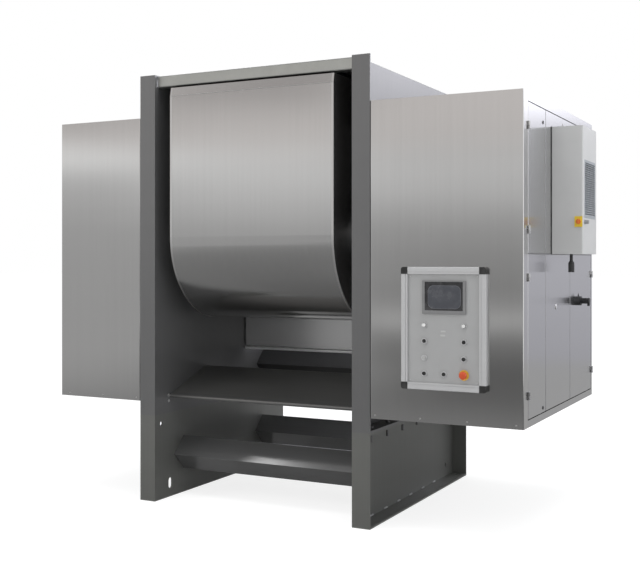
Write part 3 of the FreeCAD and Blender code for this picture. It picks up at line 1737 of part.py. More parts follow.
def panel_frame(name):
    """Four aluminium profiles round the operator panel."""
    pieces = []
    block = S.panel_profile
    for label, edge, inward in (("left", panel_x[0], 1), ("right", panel_x[1], -1)):
        corners, arcs = profile_section(edge, inward)
        length = S.panel_height - block * 2
        pieces.append(pad(f"{name}_{label}", "XY_Plane", panel_z[0] + block, length, corners, arcs))
    for label, edge, inward in (("bottom", panel_z[0], 1), ("top", panel_z[1], -1)):
        corners, arcs = profile_section(edge, inward)
        corners = [(y, z) for z, y in corners]
        arcs = {1: (arcs[1][0][::-1], inward < 0)}
        length = S.panel_width - block * 2
        pieces.append(pad(f"{name}_{label}", "YZ_Plane", panel_x[0] + block, length, corners, arcs))
    return group(name, *pieces)


def panel_corners(name):
    """Moulded corner blocks that join the profiles, each with a rounded outer corner."""
    pieces = []
    block, radius = S.panel_profile, S.panel_corner_radius
    depth = S.panel_depth + S.panel_corner_proud
    for column, (x, side) in enumerate(zip(panel_x, (1, -1))):
        for row, (z, up) in enumerate(zip(panel_z, (1, -1))):
            corners = [
                (x, z + radius * up),
                (x, z + block * up),
                (x + block * side, z + block * up),
                (x + block * side, z),
                (x + radius * side, z),
            ]
            arcs = {4: ((x + radius * side, z + radius * up), side * up < 0)}
            pieces.append(pad(f"{name}_{column}{row}", "XZ_Plane", -front, depth, corners, arcs))
    return group(name, *pieces)


screen_x = (control_middle - S.screen_width / 2, control_middle + S.screen_width / 2)
screen_z = (panel_z[0] + S.screen_bottom, panel_z[0] + S.screen_bottom + S.screen_height)
screen_window_x = (screen_x[0] + S.screen_border, screen_x[1] - S.screen_border)
screen_window_z = (screen_z[0] + S.screen_foot, screen_z[1] - S.screen_head)


def panel_plate(name):
    """Plate inside the profile, cut for the screen and the buttons."""
    profile = S.panel_profile
    blank = box(
        f"{name}_blank",
        (panel_x[0] + profile, panel_x[1] - profile),
        (plate_front, plate_back),
        (panel_z[0] + profile, panel_z[1] - profile),
    )
    margin = S.panel_plate_sheet
    through = (plate_front - margin, plate_back + margin)
    tools = [box(f"{name}_screen_opening", screen_window_x, through, screen_window_z)]
    for button in BUTTONS:
        x, z = button_place(button)
        radius = S.bezel_neck_radius + S.bezel_hole_gap
        tools.append(rod(f"{name}_{button}", "y", (x, plate_front - margin, z), radius, margin * 3))
    return cut(name, blank, *tools)


def screen_bezel(name):
    """Operator screen: a raised border with a recessed glass face, and its case behind the plate."""
    body = box(f"{name}_border", screen_x, (plate_front - S.screen_depth, plate_front), screen_z)
    gap = S.bezel_hole_gap
    case = box(
        f"{name}_case",
        (screen_window_x[0] + gap, screen_window_x[1] - gap),
        (plate_front - S.screen_recess, plate_back + S.bezel_neck_length * 2),
        (screen_window_z[0] + gap, screen_window_z[1] - gap),
    )
    recess = box(
        f"{name}_recess",
        screen_window_x,
        (plate_front - S.screen_depth * 2, plate_front - S.screen_depth + S.screen_recess),
        screen_window_z,
    )
    return cut(name, fuse(f"{name}_body", body, case), recess)


def button_bezels(name):
    """Metal rings on the plate in which the buttons slide and turn."""
    bore = S.button_radius + S.running_gap
    profile = [
        (bore, -S.bezel_height),
        (S.bezel_radius, -S.bezel_height),
        (S.bezel_radius, 0),
        (S.bezel_neck_radius, 0),
        (S.bezel_neck_radius, S.bezel_neck_length),
        (bore, S.bezel_neck_length),
    ]
    rings = []
    for button in BUTTONS:
        x, z = button_place(button)
        rings.append(turned(f"{name}_{button}", "y", (x, plate_front, z), profile))
    return group(name, *rings)


def push_button(name):
    """Flush push button."""
    x, z = button_place(name)
    length = S.bezel_height + S.button_proud + S.bezel_neck_length - S.button_travel
    return rod(name, "y", (x, plate_front - S.bezel_height - S.button_proud, z), S.button_radius, length)


def selector(name):
    """Selector switch: a round body with a grip bar."""
    x, z = button_place(name)
    face = plate_front - S.bezel_height - S.button_travel
    half = S.selector_grip_width / 2
    return fuse(
        name,
        rod(f"{name}_drum", "y", (x, face, z), S.button_radius, S.bezel_height + S.bezel_neck_length),
        box(
            f"{name}_grip",
            (x - half, x + half),
            (face - S.selector_grip_height, face + half),
            (z - S.button_radius * 0.95, z + S.button_radius * 0.95),
        ),
    )


def estop_button(name):
    """Mushroom head on a stem."""
    x, z = button_place(name)
    head = S.stop_head_radius
    under = -(S.bezel_height + S.stop_neck_gap)
    top = under - S.stop_head_height
    profile = [
        (0, S.bezel_neck_length - S.stop_travel),
        (S.button_radius, S.bezel_neck_length - S.stop_travel),
        (S.button_radius, under),
        (head * 0.9, under),
        (head, under - S.stop_head_height * 0.25),
        (head, under - S.stop_head_height * 0.6),
        (head * 0.8, top + S.stop_head_height * 0.08),
        (head * 0.45, top),
        (0, top),
    ]
    return turned(name, "y", (x, plate_front, z), profile)


def build():
    """Every sub-part by the name of its node."""
    parts = {}
    parts["right_base_frame"] = base_frame("right_base_frame")
    parts["left_base_frame"] = mirrored("left_base_frame", parts["right_base_frame"])
    parts["right_side_frame"] = side_frame("right_side_frame")
    parts["left_side_frame"] = mirrored("left_side_frame", parts["right_side_frame"])
    parts["frame_bolts"] = frame_bolts("frame_bolts")
    parts["front_step_plate"] = step_plate("front_step_plate")
    parts["lower_beams"] = group(
        "lower_beams",
        angle_beam("lower_beams_front", S.front_beam_setback, S.low_beam_height),
        angle_beam("lower_beams_rear", S.rear_beam_setback, S.low_beam_height),
    )
    parts["rear_upper_beam"] = angle_beam("rear_upper_beam", S.high_beam_setback, S.high_beam_height)
    parts["rear_guard_panel"] = guard_panel("rear_guard_panel")
    front_bar = top_bar("top_bars_front", front + S.top_bar_setback, 1)
    rear_bar = top_bar("top_bars_rear", back - S.top_bar_setback - S.top_bar_depth, -1)
    parts["top_bars"] = group("top_bars", front_bar, rear_bar)
    parts["canopy"] = canopy("canopy")
    parts["bowl_shell"] = bowl_shell("bowl_shell")
    parts["bowl_ends"] = bowl_ends("bowl_ends")
    parts["bowl_trunnions"] = bowl_trunnions("bowl_trunnions")
    parts["shaft_bushes"] = shaft_bushes("shaft_bushes")
    parts["shaft_seals"] = shaft_seals("shaft_seals")
    parts["flange_bearings"] = flange_bearings("flange_bearings")
    parts["agitator_shaft"] = agitator_shaft("agitator_shaft")
    parts["agitator_paddles"] = agitator_paddles("agitator_paddles")
    parts["bull_gear"] = bull_gear("bull_gear")
    parts["tilt_gear"] = tilt_gear("tilt_gear")
    seat = S.unit_flange + S.unit_seat_depth - S.gear_side_gap
    drive = (-1, bull_in, SIZES["bull_face"], drive_pinion_z, DRIVE_PINION_ANGLE, main_plate_out + seat)
    parts["drive_pinion"] = pinion("drive_pinion", *drive)
    tilt = (1, tilt_gear_in, SIZES["tilt_face"], tilt_pinion_z, TILT_PINION_ANGLE, tilt_plate_out + seat)
    parts["tilt_pinion"] = pinion("tilt_pinion", *tilt)
    parts["drive_brackets"] = drive_brackets("drive_brackets")
    main = gearmotor("main_gearmotor_right", main_plate_out, drive_pinion_z)
    parts["main_gearmotor"] = mirrored("main_gearmotor", main)
    parts["tilt_gearmotor"] = gearmotor("tilt_gearmotor", tilt_plate_out, tilt_pinion_z)
    left = ("left_casing_front", "left_casing_sheets")
    parts[left[0]], parts[left[1]] = left_casing(*left)
    parts["right_casing_front"] = right_casing_front("right_casing_front")
    sheets = casing_sheets("right_casing_sheets", rim_in)
    parts["right_casing_sheets"] = group("right_casing_sheets", *sheets)
    parts["side_door_frame"] = side_door_frame("side_door_frame")
    parts["control_board"] = control_board("control_board")
    for door, (span, storey, seam, side) in HINGED.items():
        parts[door] = hinged_door(door, span, storey, seam, side)
    parts["lower_left_panel"] = lower_left_panel("lower_left_panel")
    parts["door_hinges"] = door_hinges("door_hinges")
    parts["ac_housing"] = ac_housing("ac_housing")
    parts["ac_grille"] = ac_grille("ac_grille")
    parts["ac_fan"] = ac_fan("ac_fan")
    parts["condensate_boot"] = condensate_boot("condensate_boot")
    parts["isolator_plate"] = isolator_plate("isolator_plate")
    parts["isolator_knob"] = isolator_knob("isolator_knob")
    parts["main_switch_base"] = main_switch_base("main_switch_base")
    parts["main_switch_handle"] = main_switch_handle("main_switch_handle")
    parts["panel_frame"] = panel_frame("panel_frame")
    parts["panel_corners"] = panel_corners("panel_corners")
    parts["panel_plate"] = panel_plate("panel_plate")
    parts["screen_bezel"] = screen_bezel("screen_bezel")
    parts["button_bezels"] = button_bezels("button_bezels")
    for name in BUTTONS:
        if name.startswith("selector"):
            parts[name] = selector(name)
        elif name == "estop_button":
            parts[name] = estop_button(name)
        else:
            parts[name] = push_button(name)
    return parts


parts = build()
for name, item in parts.items():
    item.Label = name
doc.recompute()

for item in doc.Objects:
    if {"Invalid", "Error"} & set(item.State):
        raise SystemExit(f"{item.Label} did not build: {item.State}")
for name, item in parts.items():
    shape = item.Shape
    if shape.isNull() or not shape.isValid() or not shape.Solids:
        raise SystemExit(f"{name} has no valid solid")

os.makedirs("parts", exist_ok=True)
for name, item in parts.items():
    item.Shape.exportStep(f"parts/{name}.step")
print(len(parts), "sub-parts,", sum(len(item.Shape.Solids) for item in parts.values()), "solids")
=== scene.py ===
# %% [markdown]
# # A horizontal dough mixer, dressed around its construction model
# The machine is a U-shaped stainless bowl between two tall frames, with a sheet-metal casing outside
# each frame. All rigid pieces come from the construction model, in metres, in one frame: +Z is up, the
# machine's front faces -Y and the origin lies on the floor between the frames. This lesson lights it,
# gives each piece its finish, and adds the small things that a construction model leaves out.

# %% Load the frame
import math

import bmesh
import bpy
from mathutils import Matrix, Vector


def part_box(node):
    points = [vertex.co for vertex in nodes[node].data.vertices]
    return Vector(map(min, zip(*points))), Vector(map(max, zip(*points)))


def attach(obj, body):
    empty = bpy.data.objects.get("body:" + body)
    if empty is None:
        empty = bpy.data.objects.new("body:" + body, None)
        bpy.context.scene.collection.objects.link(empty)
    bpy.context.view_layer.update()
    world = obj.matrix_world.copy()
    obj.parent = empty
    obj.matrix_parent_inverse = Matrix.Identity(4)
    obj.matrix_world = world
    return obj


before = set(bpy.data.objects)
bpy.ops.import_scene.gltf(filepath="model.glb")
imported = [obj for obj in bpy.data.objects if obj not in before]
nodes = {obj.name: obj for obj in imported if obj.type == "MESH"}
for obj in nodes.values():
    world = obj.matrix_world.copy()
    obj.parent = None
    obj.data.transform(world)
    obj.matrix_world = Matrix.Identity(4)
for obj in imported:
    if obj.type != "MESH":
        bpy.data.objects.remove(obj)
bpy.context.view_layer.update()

# %% [markdown]
# ## The camera
# The viewpoint was worked out from the machine's own straight edges: about 5.6 m in front of the
# bowl's middle, 2.9 m to its right, at chest height and level. The lens is a short telephoto. A small
# downward shift keeps the uprights parallel, which is what an architect's camera does.

# %% Camera
EYE = Vector((2.949, -5.649, 1.409))
TURN_LEFT = math.radians(27.13)

camera_data = bpy.data.cameras.new("camera")
camera_data.lens = 57.39
camera_data.sensor_width = 36
camera_data.shift_y = -0.0403
camera_data.clip_end = 200
camera = bpy.data.objects.new("camera", camera_data)
camera.location = EYE
camera.rotation_euler = (math.radians(90), 0, TURN_LEFT)
bpy.context.scene.collection.objects.link(camera)
bpy.context.scene.camera = camera
bpy.context.scene.view_settings.view_transform = "Standard"
print("camera at", tuple(EYE))

# %% [markdown]
# ## Shader sums as Python
# A finish is mostly arithmetic on masks: a grain times a strength, one minus a stain. One small class
# wraps a node's output, so such a sum is written as a Python expression and adds its own nodes.
# Numbers go through Math nodes, vectors through Vector Math and colours through Mix.

# %% The wrapped output
class Wire:
    """One output of a node, on which sums can be written."""

    def __init__(self, graph, socket):
        self.graph = graph
        self.socket = socket

    def sum(self, operation, first, second):
        kinds = {v.socket.type for v in (first, second) if isinstance(v, Wire)}
        if "RGBA" in kinds:
            pair = [v if isinstance(v, (Wire, tuple)) else (v, v, v) for v in (first, second)]
            return self.graph.node("ShaderNodeMix", {"data_type": "RGBA", "blend_type": operation},
                                   {0: 1.0, 6: pair[0], 7: pair[1]}, out=2)
        if "VECTOR" in kinds:
            pair = [v if isinstance(v, (Wire, tuple)) else (v, v, v) for v in (first, second)]
            return self.graph.node("ShaderNodeVectorMath", {"operation": operation},
                                   {0: pair[0], 1: pair[1]})
        return self.graph.node("ShaderNodeMath", {"operation": operation}, {0: first, 1: second})

    def __add__(self, other):
        return self.sum("ADD", self, other)

    def __radd__(self, other):
        return self.sum("ADD", other, self)

    def __sub__(self, other):
        return self.sum("SUBTRACT", self, other)

    def __rsub__(self, other):
        return self.sum("SUBTRACT", other, self)

    def __mul__(self, other):
        return self.sum("MULTIPLY", self, other)

    def __rmul__(self, other):
        return self.sum("MULTIPLY", other, self)

    def __truediv__(self, other):
        return self.sum("DIVIDE", self, other)

    def between(self, low, high, to_low=0.0, to_high=1.0):
        """Goes smoothly from to_low to to_high while this goes from low to high."""
        settings = {"interpolation_type": "SMOOTHSTEP", "clamp": True}
        return self.graph.node("ShaderNodeMapRange", settings,
                               {0: self, 1: low, 2: high, 3: to_low, 4: to_high})

    def mix(self, first, second):
        """The colour first where this is 0, and second where it is 1."""
        return self.graph.node("ShaderNodeMix", {"data_type": "RGBA"},
                               {0: self, 6: first, 7: second}, out=2)


# %% The graph that makes nodes
class Graph:
    """The node tree of a finish, the world or a lamp. Every node is made by the one method."""

    def __init__(self, tree):
        self.tree = tree
        tree.nodes.clear()

    def node(self, kind, settings=None, sockets=None, out=0):
        made = self.tree.nodes.new(kind)
        for name, value in (settings or {}).items():
            if name == "stops":
                self.set_stops(made.color_ramp.elements, value)
            else:
                setattr(made, name, value)
        for name, value in (sockets or {}).items():
            if isinstance(value, Wire):
                self.tree.links.new(value.socket, made.inputs[name])
            elif made.inputs[name].type == "RGBA":
                made.inputs[name].default_value = (*value[:3], 1)
            else:
                made.inputs[name].default_value = value
        return Wire(self, made.outputs[out]) if made.outputs else None

    def set_stops(self, elements, stops):
        while len(elements) < len(stops):
            elements.new(1)
        for element, (place, colour) in zip(elements, stops):
            element.position = place
            element.color = (*colour, 1) if isinstance(colour, tuple) else (colour, colour, colour, 1)

    def place(self):
        """Where a point lies on its own piece, in metres, whatever the pose."""
        return self.node("ShaderNodeTexCoord", out=3)

    def noise(self, stretch, scale=1.0, detail=3.0, rough=0.55):
        """Noise whose grains measure about 1 / (scale * stretch) metres along X, Y and Z."""
        return self.node("ShaderNodeTexNoise", None, {"Vector": self.place() * stretch, "Scale": scale,
                                                      "Detail": detail, "Roughness": rough})

    def bump(self, height, distance, under=None):
        sockets = {"Height": height, "Distance": distance}
        if under:
            sockets["Normal"] = under
        return self.node("ShaderNodeBump", None, sockets)

    def surface(self, sockets):
        shader = self.node("ShaderNodeBsdfPrincipled", None, sockets)
        self.node("ShaderNodeOutputMaterial", None, {"Surface": shader})


def finish_graph(name):
    """A new finish, and the graph of its nodes."""
    finish = bpy.data.materials.new(name)
    finish.use_nodes = True
    return finish, Graph(finish.node_tree)


# %% [markdown]
# ## White floor, white world
# The floor and the world are plain white for the camera, and for mirror and glass rays, through Light
# Path. All other rays see a calm grey world, so the white costs no extra light on the object. The
# floor's white is part glow and part matt paint, and the matt part keeps the machine's shadow.

# %% World
WORLD_LEVEL = 0.62

world = bpy.data.worlds.new("studio")
world.use_nodes = True
bpy.context.scene.world = world
sky = Graph(world.node_tree)


def seen_directly(graph):
    """1 for camera, mirror and glass rays, and 0 for the rest."""
    rays = [graph.node("ShaderNodeLightPath", None, None, out) for out in
            ("Is Camera Ray", "Is Glossy Ray", "Is Transmission Ray")]
    return graph.node("ShaderNodeMath", {"operation": "MAXIMUM"}, {0: rays[0] + rays[1], 1: rays[2]})


white_part = seen_directly(sky)
sky_light = sky.node("ShaderNodeBackground", None,
                     {"Color": white_part.mix((0.97, 0.985, 1.0), (1, 1, 1)),
                      "Strength": WORLD_LEVEL + white_part * (1 - WORLD_LEVEL)})
sky.node("ShaderNodeOutputWorld", None, {"Surface": sky_light})
print("world level", WORLD_LEVEL)

# %% Floor
FLOOR_SIDE = 160.0
FLOOR_GLOW = 0.6
GLOW_STRENGTH = 1.35


def flat_square(name, side, height):
    """A level square, as a mesh object."""
    bm = bmesh.new()
    bmesh.ops.create_grid(bm, x_segments=2, y_segments=2, size=side / 2,
                          matrix=Matrix.Translation((0, 0, height)))
    mesh = bpy.data.meshes.new(name)
    bm.to_mesh(mesh)
    bm.free()
    return bpy.data.objects.new(name, mesh)


floor = flat_square("floor", FLOOR_SIDE, -0.0005)
bpy.context.scene.collection.objects.link(floor)
floor_paint, g = finish_graph("floor_paint")
matt = g.node("ShaderNodeBsdfDiffuse", None, {"Color": (0.85, 0.85, 0.85)})
glow = g.node("ShaderNodeEmission", None, {"Color": (1, 1, 1), "Strength": GLOW_STRENGTH})
floor_mix = g.node("ShaderNodeMixShader", None, {0: seen_directly(g) * FLOOR_GLOW, 1: matt, 2: glow})
g.node("ShaderNodeOutputMaterial", None, {"Surface": floor_mix})
floor.data.materials.append(floor_paint)
print("floor", FLOOR_SIDE, "m wide")

# %% [markdown]
# ## What the steel sees
# Brushed steel has hardly a colour of its own: it shows the room, smeared by its grain. The sheets of
# the real machine stood in a works hall, opposite a grey floor, a dark lower wall with a bright strip
# along it, and a paler upper wall. A round room with those tones stands here for mirror rays alone. It
# is stage, and lights nothing else.

# %% Room
ROOM_RADIUS = 9.0
ROOM_HEIGHT = 9.0
ROOM_FLOOR = 0.004


def lathe(profile, steps, matrix=Matrix.Identity(4), bm=None):
    """Turns a profile of (radius, height) pairs about Z, and returns the bmesh."""
    bm = bm or bmesh.new()
    rings = []
    for radius, height in profile:
        turns = [2 * math.pi * i / steps for i in range(steps)] if radius > 0 else [0]
        rings.append([bm.verts.new(matrix @ Vector((radius * math.cos(t), radius * math.sin(t), height)))
                      for t in turns])
    for low, high in zip(rings, rings[1:]):
        for i in range(steps):
            corners = [low[i % len(low)], low[(i + 1) % len(low)],
                       high[(i + 1) % len(high)], high[i % len(high)]]
            bm.faces.new(list(dict.fromkeys(corners)))
    return bm


room_profile = [(0, ROOM_FLOOR), (ROOM_RADIUS, ROOM_FLOOR), (ROOM_RADIUS, ROOM_HEIGHT), (0, ROOM_HEIGHT)]
bm = lathe(room_profile, 96)
room_mesh = bpy.data.meshes.new("room")
bm.to_mesh(room_mesh)
bm.free()
room = bpy.data.objects.new("room", room_mesh)
bpy.context.scene.collection.objects.link(room)
room.visible_camera = False
room.visible_diffuse = False
room.visible_transmission = False
room.visible_shadow = False
print("room", ROOM_RADIUS, "m in radius, for mirror rays alone")

# %% [markdown]
# ## The room's tones
# Each wall is a list of heights in metres and brightnesses, and so is the floor, by its distance from
# the machine. A ramp holds only colours up to 1, so the tones are divided by the glow's strength.

# %% Tones of walls and floor
ROOM_POWER = 4.0
TONE_TOP = 5.0

FRONT_WALL = [(0.0, 0.13), (0.13, 0.15), (0.29, 0.18), (0.455, 0.25), (0.56, 0.62), (0.66, 0.70),
              (0.78, 0.41), (0.94, 0.30), (1.10, 0.30), (1.26, 0.34), (1.42, 0.37), (1.75, 0.43),
              (2.07, 0.53), (2.23, 0.68), (2.71, 0.75), (3.0, 0.72), (3.5, 0.78)]
MIDDLE_WALL = [(0.0, 0.45), (1.0, 0.46), (1.75, 0.50), (1.9, 0.55), (2.07, 0.66), (2.23, 0.71),
               (2.39, 0.76), (2.55, 0.85), (2.70, 0.88), (2.87, 0.88), (3.03, 0.81),
               (3.2, 0.74), (3.36, 0.71), (3.52, 0.64), (3.68, 0.49), (4.2, 0.45)]
LEFT_WALL = [(0.0, 0.47), (1.75, 0.49), (2.07, 0.55), (2.4, 0.63), (2.56, 0.79), (2.72, 1.04),
             (2.88, 1.04), (3.05, 0.75), (3.21, 0.62), (4.0, 0.62)]
BACK_WALL = [(0.0, 0.47), (1.4, 0.58), (2.0, 0.50), (2.6, 0.55), (2.95, 0.62), (3.1, 0.75), (3.3, 1.15),
             (3.55, 1.6), (3.8, 2.6), (4.0, 3.9), (5.0, 4.0)]
NEAR_FLOOR = [(0.0, 0.12), (1.0, 0.17), (1.4, 0.20), (2.1, 0.24), (4.2, 0.27), (5.9, 0.165), (8.3, 0.13)]
MIDDLE_FLOOR = [(0.0, 0.12), (1.0, 0.17), (1.6, 0.20), (2.2, 0.22), (3.5, 0.25), (5.5, 0.29), (8.5, 0.35)]
LEFT_FLOOR = [(0.0, 0.18), (2.5, 0.24), (4.8, 0.30), (6.0, 0.37), (8.0, 0.45)]

room_paint, g = finish_graph("room_paint")
spot = g.node("ShaderNodeNewGeometry", out=0)
east, north, height = (g.node("ShaderNodeSeparateXYZ", None, {0: spot}, out) for out in (0, 1, 2))


def toned(graph, along, tones, top):
    """The tone at a height on a wall, or at a distance on the floor."""
    stops = [(place / top, tone / ROOM_POWER) for place, tone in tones]
    return graph.node("ShaderNodeValToRGB", {"stops": stops}, {0: along * (1 / top)})


front_wall = toned(g, height, FRONT_WALL, TONE_TOP)
middle_wall = toned(g, height, MIDDLE_WALL, TONE_TOP)
left_wall = toned(g, height, LEFT_WALL, TONE_TOP)
back_wall = toned(g, height, BACK_WALL, TONE_TOP) * (0.985, 0.985, 1.06)
west = east * -1
walls = west.between(2.5, 3.3).mix(front_wall, west.between(5.0, 5.7).mix(middle_wall, left_wall))
walls = walls * height.between(2.75, 3.15).mix((1, 1, 1), (1.03, 0.985, 0.965))
print(len(FRONT_WALL), "stops on the front wall")

# %% The whole room
EAST_TONE = 0.75
CEILING_TONE = 0.4
BEND_LIGHT = ((8.6, -2.6, 2.0), 2.4, 0.95)
SKYLIGHT = ((-5.15, -2.45, 9.0), 0.42, 7.5)


def grey(tone):
    return (tone / ROOM_POWER,) * 3


def patch(graph, centre, radius):
    """1 around a place on the wall or the ceiling, and 0 beyond the radius."""
    away = graph.node("ShaderNodeVectorMath", {"operation": "DISTANCE"}, {0: spot, 1: centre}, out=1)
    return away.between(radius * 0.7, radius * 1.2, 1.0, 0.0)


backness = north.between(-1.0, 2.0)
eastness = east.between(4.8, 7.0)
walls = backness.mix(eastness.mix(walls, grey(EAST_TONE)), back_wall)
distance = g.node("ShaderNodeVectorMath", {"operation": "LENGTH"}, {0: spot * (1, 1, 0)}, out=1)
turned = west / distance
ground = turned.between(0.57, 0.63).mix(toned(g, distance, MIDDLE_FLOOR, ROOM_RADIUS),
                                        toned(g, distance, LEFT_FLOOR, ROOM_RADIUS))
ground = turned.between(0.18, 0.30).mix(toned(g, distance, NEAR_FLOOR, ROOM_RADIUS), ground)
ground = north.between(0.4, 2.4).mix(ground, grey(0.45))
sides = height.between(ROOM_FLOOR + 0.001, ROOM_FLOOR + 0.06).mix(ground, walls)
tones = height.between(ROOM_HEIGHT - 0.4, ROOM_HEIGHT - 0.1).mix(sides, grey(CEILING_TONE))
for centre, radius, tone in (BEND_LIGHT, SKYLIGHT):
    tones = (patch(g, centre, radius) * (tone / 10)).mix(tones, grey(10.0))
room_glow = g.node("ShaderNodeEmission", None, {"Color": tones, "Strength": ROOM_POWER})
g.node("ShaderNodeOutputMaterial", None, {"Surface": room_glow})
room.data.materials.append(room_paint)
print("room toned")

# %% [markdown]
# ## The lamps
# The real photograph has soft light from a high ceiling: the tops of the casings are almost white and
# shadows have no edge. Three wide lamps do that, one above, one at the front left, one at the right.

# %% Lamps
MACHINE_MIDDLE = (0, 0, 1.3)


def soft_lamp(name, place, side, power, colour=(1, 1, 1)):
    """A square lamp that points at the machine, and that mirrors don't show."""
    data = bpy.data.lights.new(name, "AREA")
    data.size = side
    data.energy = power
    data.color = colour
    lamp = bpy.data.objects.new(name, data)
    lamp.location = place
    lamp.rotation_euler = (Vector(MACHINE_MIDDLE) - Vector(place)).to_track_quat("-Z", "Y").to_euler()
    lamp.visible_glossy = False
    bpy.context.scene.collection.objects.link(lamp)


soft_lamp("ceiling_lamp", (0.6, -0.6, 6.5), 5.0, 330)
soft_lamp("left_lamp", (-4.5, -5.5, 3.6), 3.5, 130, (1.0, 0.985, 0.96))
soft_lamp("right_lamp", (6.5, -1.5, 3.4), 3.0, 82, (0.96, 0.98, 1.0))
print("three lamps")

# %% [markdown]
# ## Brushed sheet
# The bowl and the casings are stainless sheet, brushed in one direction. The scratches are long and a
# fraction of a millimetre wide, so their noise is stretched a hundredfold, and the shader's anisotropy
# smears what the sheet mirrors across them. Faint bands show where the brush passed, and a very slow
# swell stands for the slight waviness of a big sheet.

# %% Brushed steel
ALONG_X = (1.5, 260, 260)
ALONG_Y = (260, 1.5, 260)
ALONG_Z = (260, 260, 1.5)


def brushed_steel(name, tone, grain, rough=0.14, tint=0.03, swell=0.002, smear=0.75, haze=0.03, metal=1.0):
    """Stainless sheet whose grain runs along the axis with the small stretch."""
    finish, g = finish_graph(name)
    fine = g.noise(grain, 3.0, 4.0, 0.7)
    streak = g.noise(tuple(value / 9 for value in grain), 2.0, 2.0)
    bands = g.noise((0.2, 0.2, 9.0), 1.0, 2.0)
    cloud = g.noise((1, 1, 1), 1.7, 3.0)
    shade = 0.4 * fine + 0.25 * streak + 0.2 * bands + 0.15 * cloud
    dark, light = (tuple(value * share for value in tone) for share in (1 - tint, 1 + tint))
    relief = g.bump(fine * 0.6 + streak * 0.4, 0.00001)
    wavy = g.bump(g.noise((1, 1, 1), 0.9, 1.0), swell, relief)
    roughness = rough - 0.02 + fine * 0.04 + cloud.between(0.35, 0.75) * haze
    g.surface({"Base Color": shade.between(0.3, 0.7).mix(dark, light), "Metallic": metal,
               "Anisotropic": smear, "Roughness": roughness, "Normal": wavy})
    return finish


bowl_steel = brushed_steel("bowl_steel", (0.60, 0.597, 0.592), ALONG_Z)
# The bowl's ends and the lip bead get a lighter copy of the bowl's stainless, which paints a highlight
# along their rolled edges.
highlight_edge_steel = brushed_steel("highlight_edge_steel", (0.72, 0.717, 0.71), ALONG_Z, 0.30, smear=0.3)
casing_steel = brushed_steel("casing_steel", (0.60, 0.597, 0.592), ALONG_Z, swell=0.004)
door_steel = brushed_steel("door_steel", (0.61, 0.61, 0.615), ALONG_Z, 0.2, 0.015, 0.001, haze=0.01)
guard_steel = brushed_steel("guard_steel", (0.62, 0.62, 0.62), ALONG_X, 0.24, 0.06, smear=0.4, metal=0.8)
# The step plate, the lower beams and the rear upper beam are the same stainless as the bowl; their much
# darker tones are painted shade, for the shade under the bowl and the step plate.
step_steel_painted_shade = brushed_steel("step_steel_painted_shade", (0.22, 0.219, 0.215), ALONG_X, 0.40, 0.06, smear=0.4, metal=0.8)
beam_steel = brushed_steel("beam_steel", (0.175, 0.175, 0.175), ALONG_X, 0.15, 0.06, smear=0.3, metal=0.6)
painted_shade_steel = brushed_steel("painted_shade_steel", (0.12, 0.12, 0.12), ALONG_X, 0.34, 0.06, smear=0.4)
bar_steel = brushed_steel("bar_steel", (0.56, 0.575, 0.55), (60, 260, 60), 0.42, 0.10, smear=0.3)
frame_steel = brushed_steel("frame_steel", (0.165, 0.165, 0.166), ALONG_Z, 0.36, 0.05, smear=0.2, metal=0.5)
base_steel = brushed_steel("base_steel", (0.178, 0.18, 0.17), ALONG_Z, 0.44, 0.06, smear=0.2, metal=0.5)
hinge_steel = brushed_steel("hinge_steel", (0.50, 0.50, 0.51), ALONG_Z, 0.34, smear=0.0)
# The guard's rolled edge gets a much lighter copy of the guard's stainless, which paints the highlight
# along the roll.
highlight_roll_steel = brushed_steel("highlight_roll_steel", (0.88, 0.88, 0.88), ALONG_X, 0.32, smear=0.2, metal=0.6)
print("brushed finishes for bowl, casings, doors, beams and frames")

# %% [markdown]
# ## Turned and cut metal
# Shafts, pins, bolts and gears come off a lathe or a cutter. Rings of fine tool marks run round a
# turned shaft, which stretched noise across its axis imitates. Gears carry a film of dark grease.

# %% Turned metal
def turned_metal(name, tone, grain=(420, 30, 30), rough=0.25, grease=0.0, metallic=1.0):
    """Machined metal with tool marks across the axis with the large stretch."""
    finish, g = finish_graph(name)
    marks = g.noise(grain, 2.0, 3.0, 0.6)
    film = g.noise((1, 1, 1), 16.0, 4.0).between(0.42, 0.62) * grease
    bare = marks.between(0.3, 0.7).mix(tuple(value * 0.88 for value in tone), tone)
    g.surface({"Base Color": film.mix(bare, (0.05, 0.04, 0.03)), "Metallic": metallic,
               "Roughness": rough + marks * 0.12 - film * 0.05, "Normal": g.bump(marks, 0.00005)})
    return finish


turned_steel = turned_metal("turned_steel", (0.55, 0.55, 0.56))
gear_steel = turned_metal("gear_steel", (0.38, 0.38, 0.39), (300, 60, 60), 0.32, 0.45)
bronze = turned_metal("bronze", (0.62, 0.42, 0.2), rough=0.28, grease=0.2)
# The frame bolts get a dark tone, which paints the shade under the joint flange where they hang.
bolt_zinc = turned_metal("bolt_zinc", (0.24, 0.24, 0.245), (90, 90, 300), 0.38, 0.12)
screw_steel = turned_metal("screw_steel", (0.78, 0.78, 0.78), (90, 300, 90), 0.35)
weld_steel = turned_metal("weld_steel", (0.52, 0.52, 0.53), (200, 200, 200), 0.34, 0.1, 0.6)
collar_satin = turned_metal("collar_satin", (0.58, 0.58, 0.585), (60, 500, 60), 0.3, metallic=0.35)
print("turned finishes for shafts, gears, bolts and collars")


# %% [markdown]
# ## Paint
# Painted pieces keep a skin: spray leaves a fine orange peel, and dust settles in a slow cloud.
# The cast bearing blocks are coarser under their paint than folded sheet is.

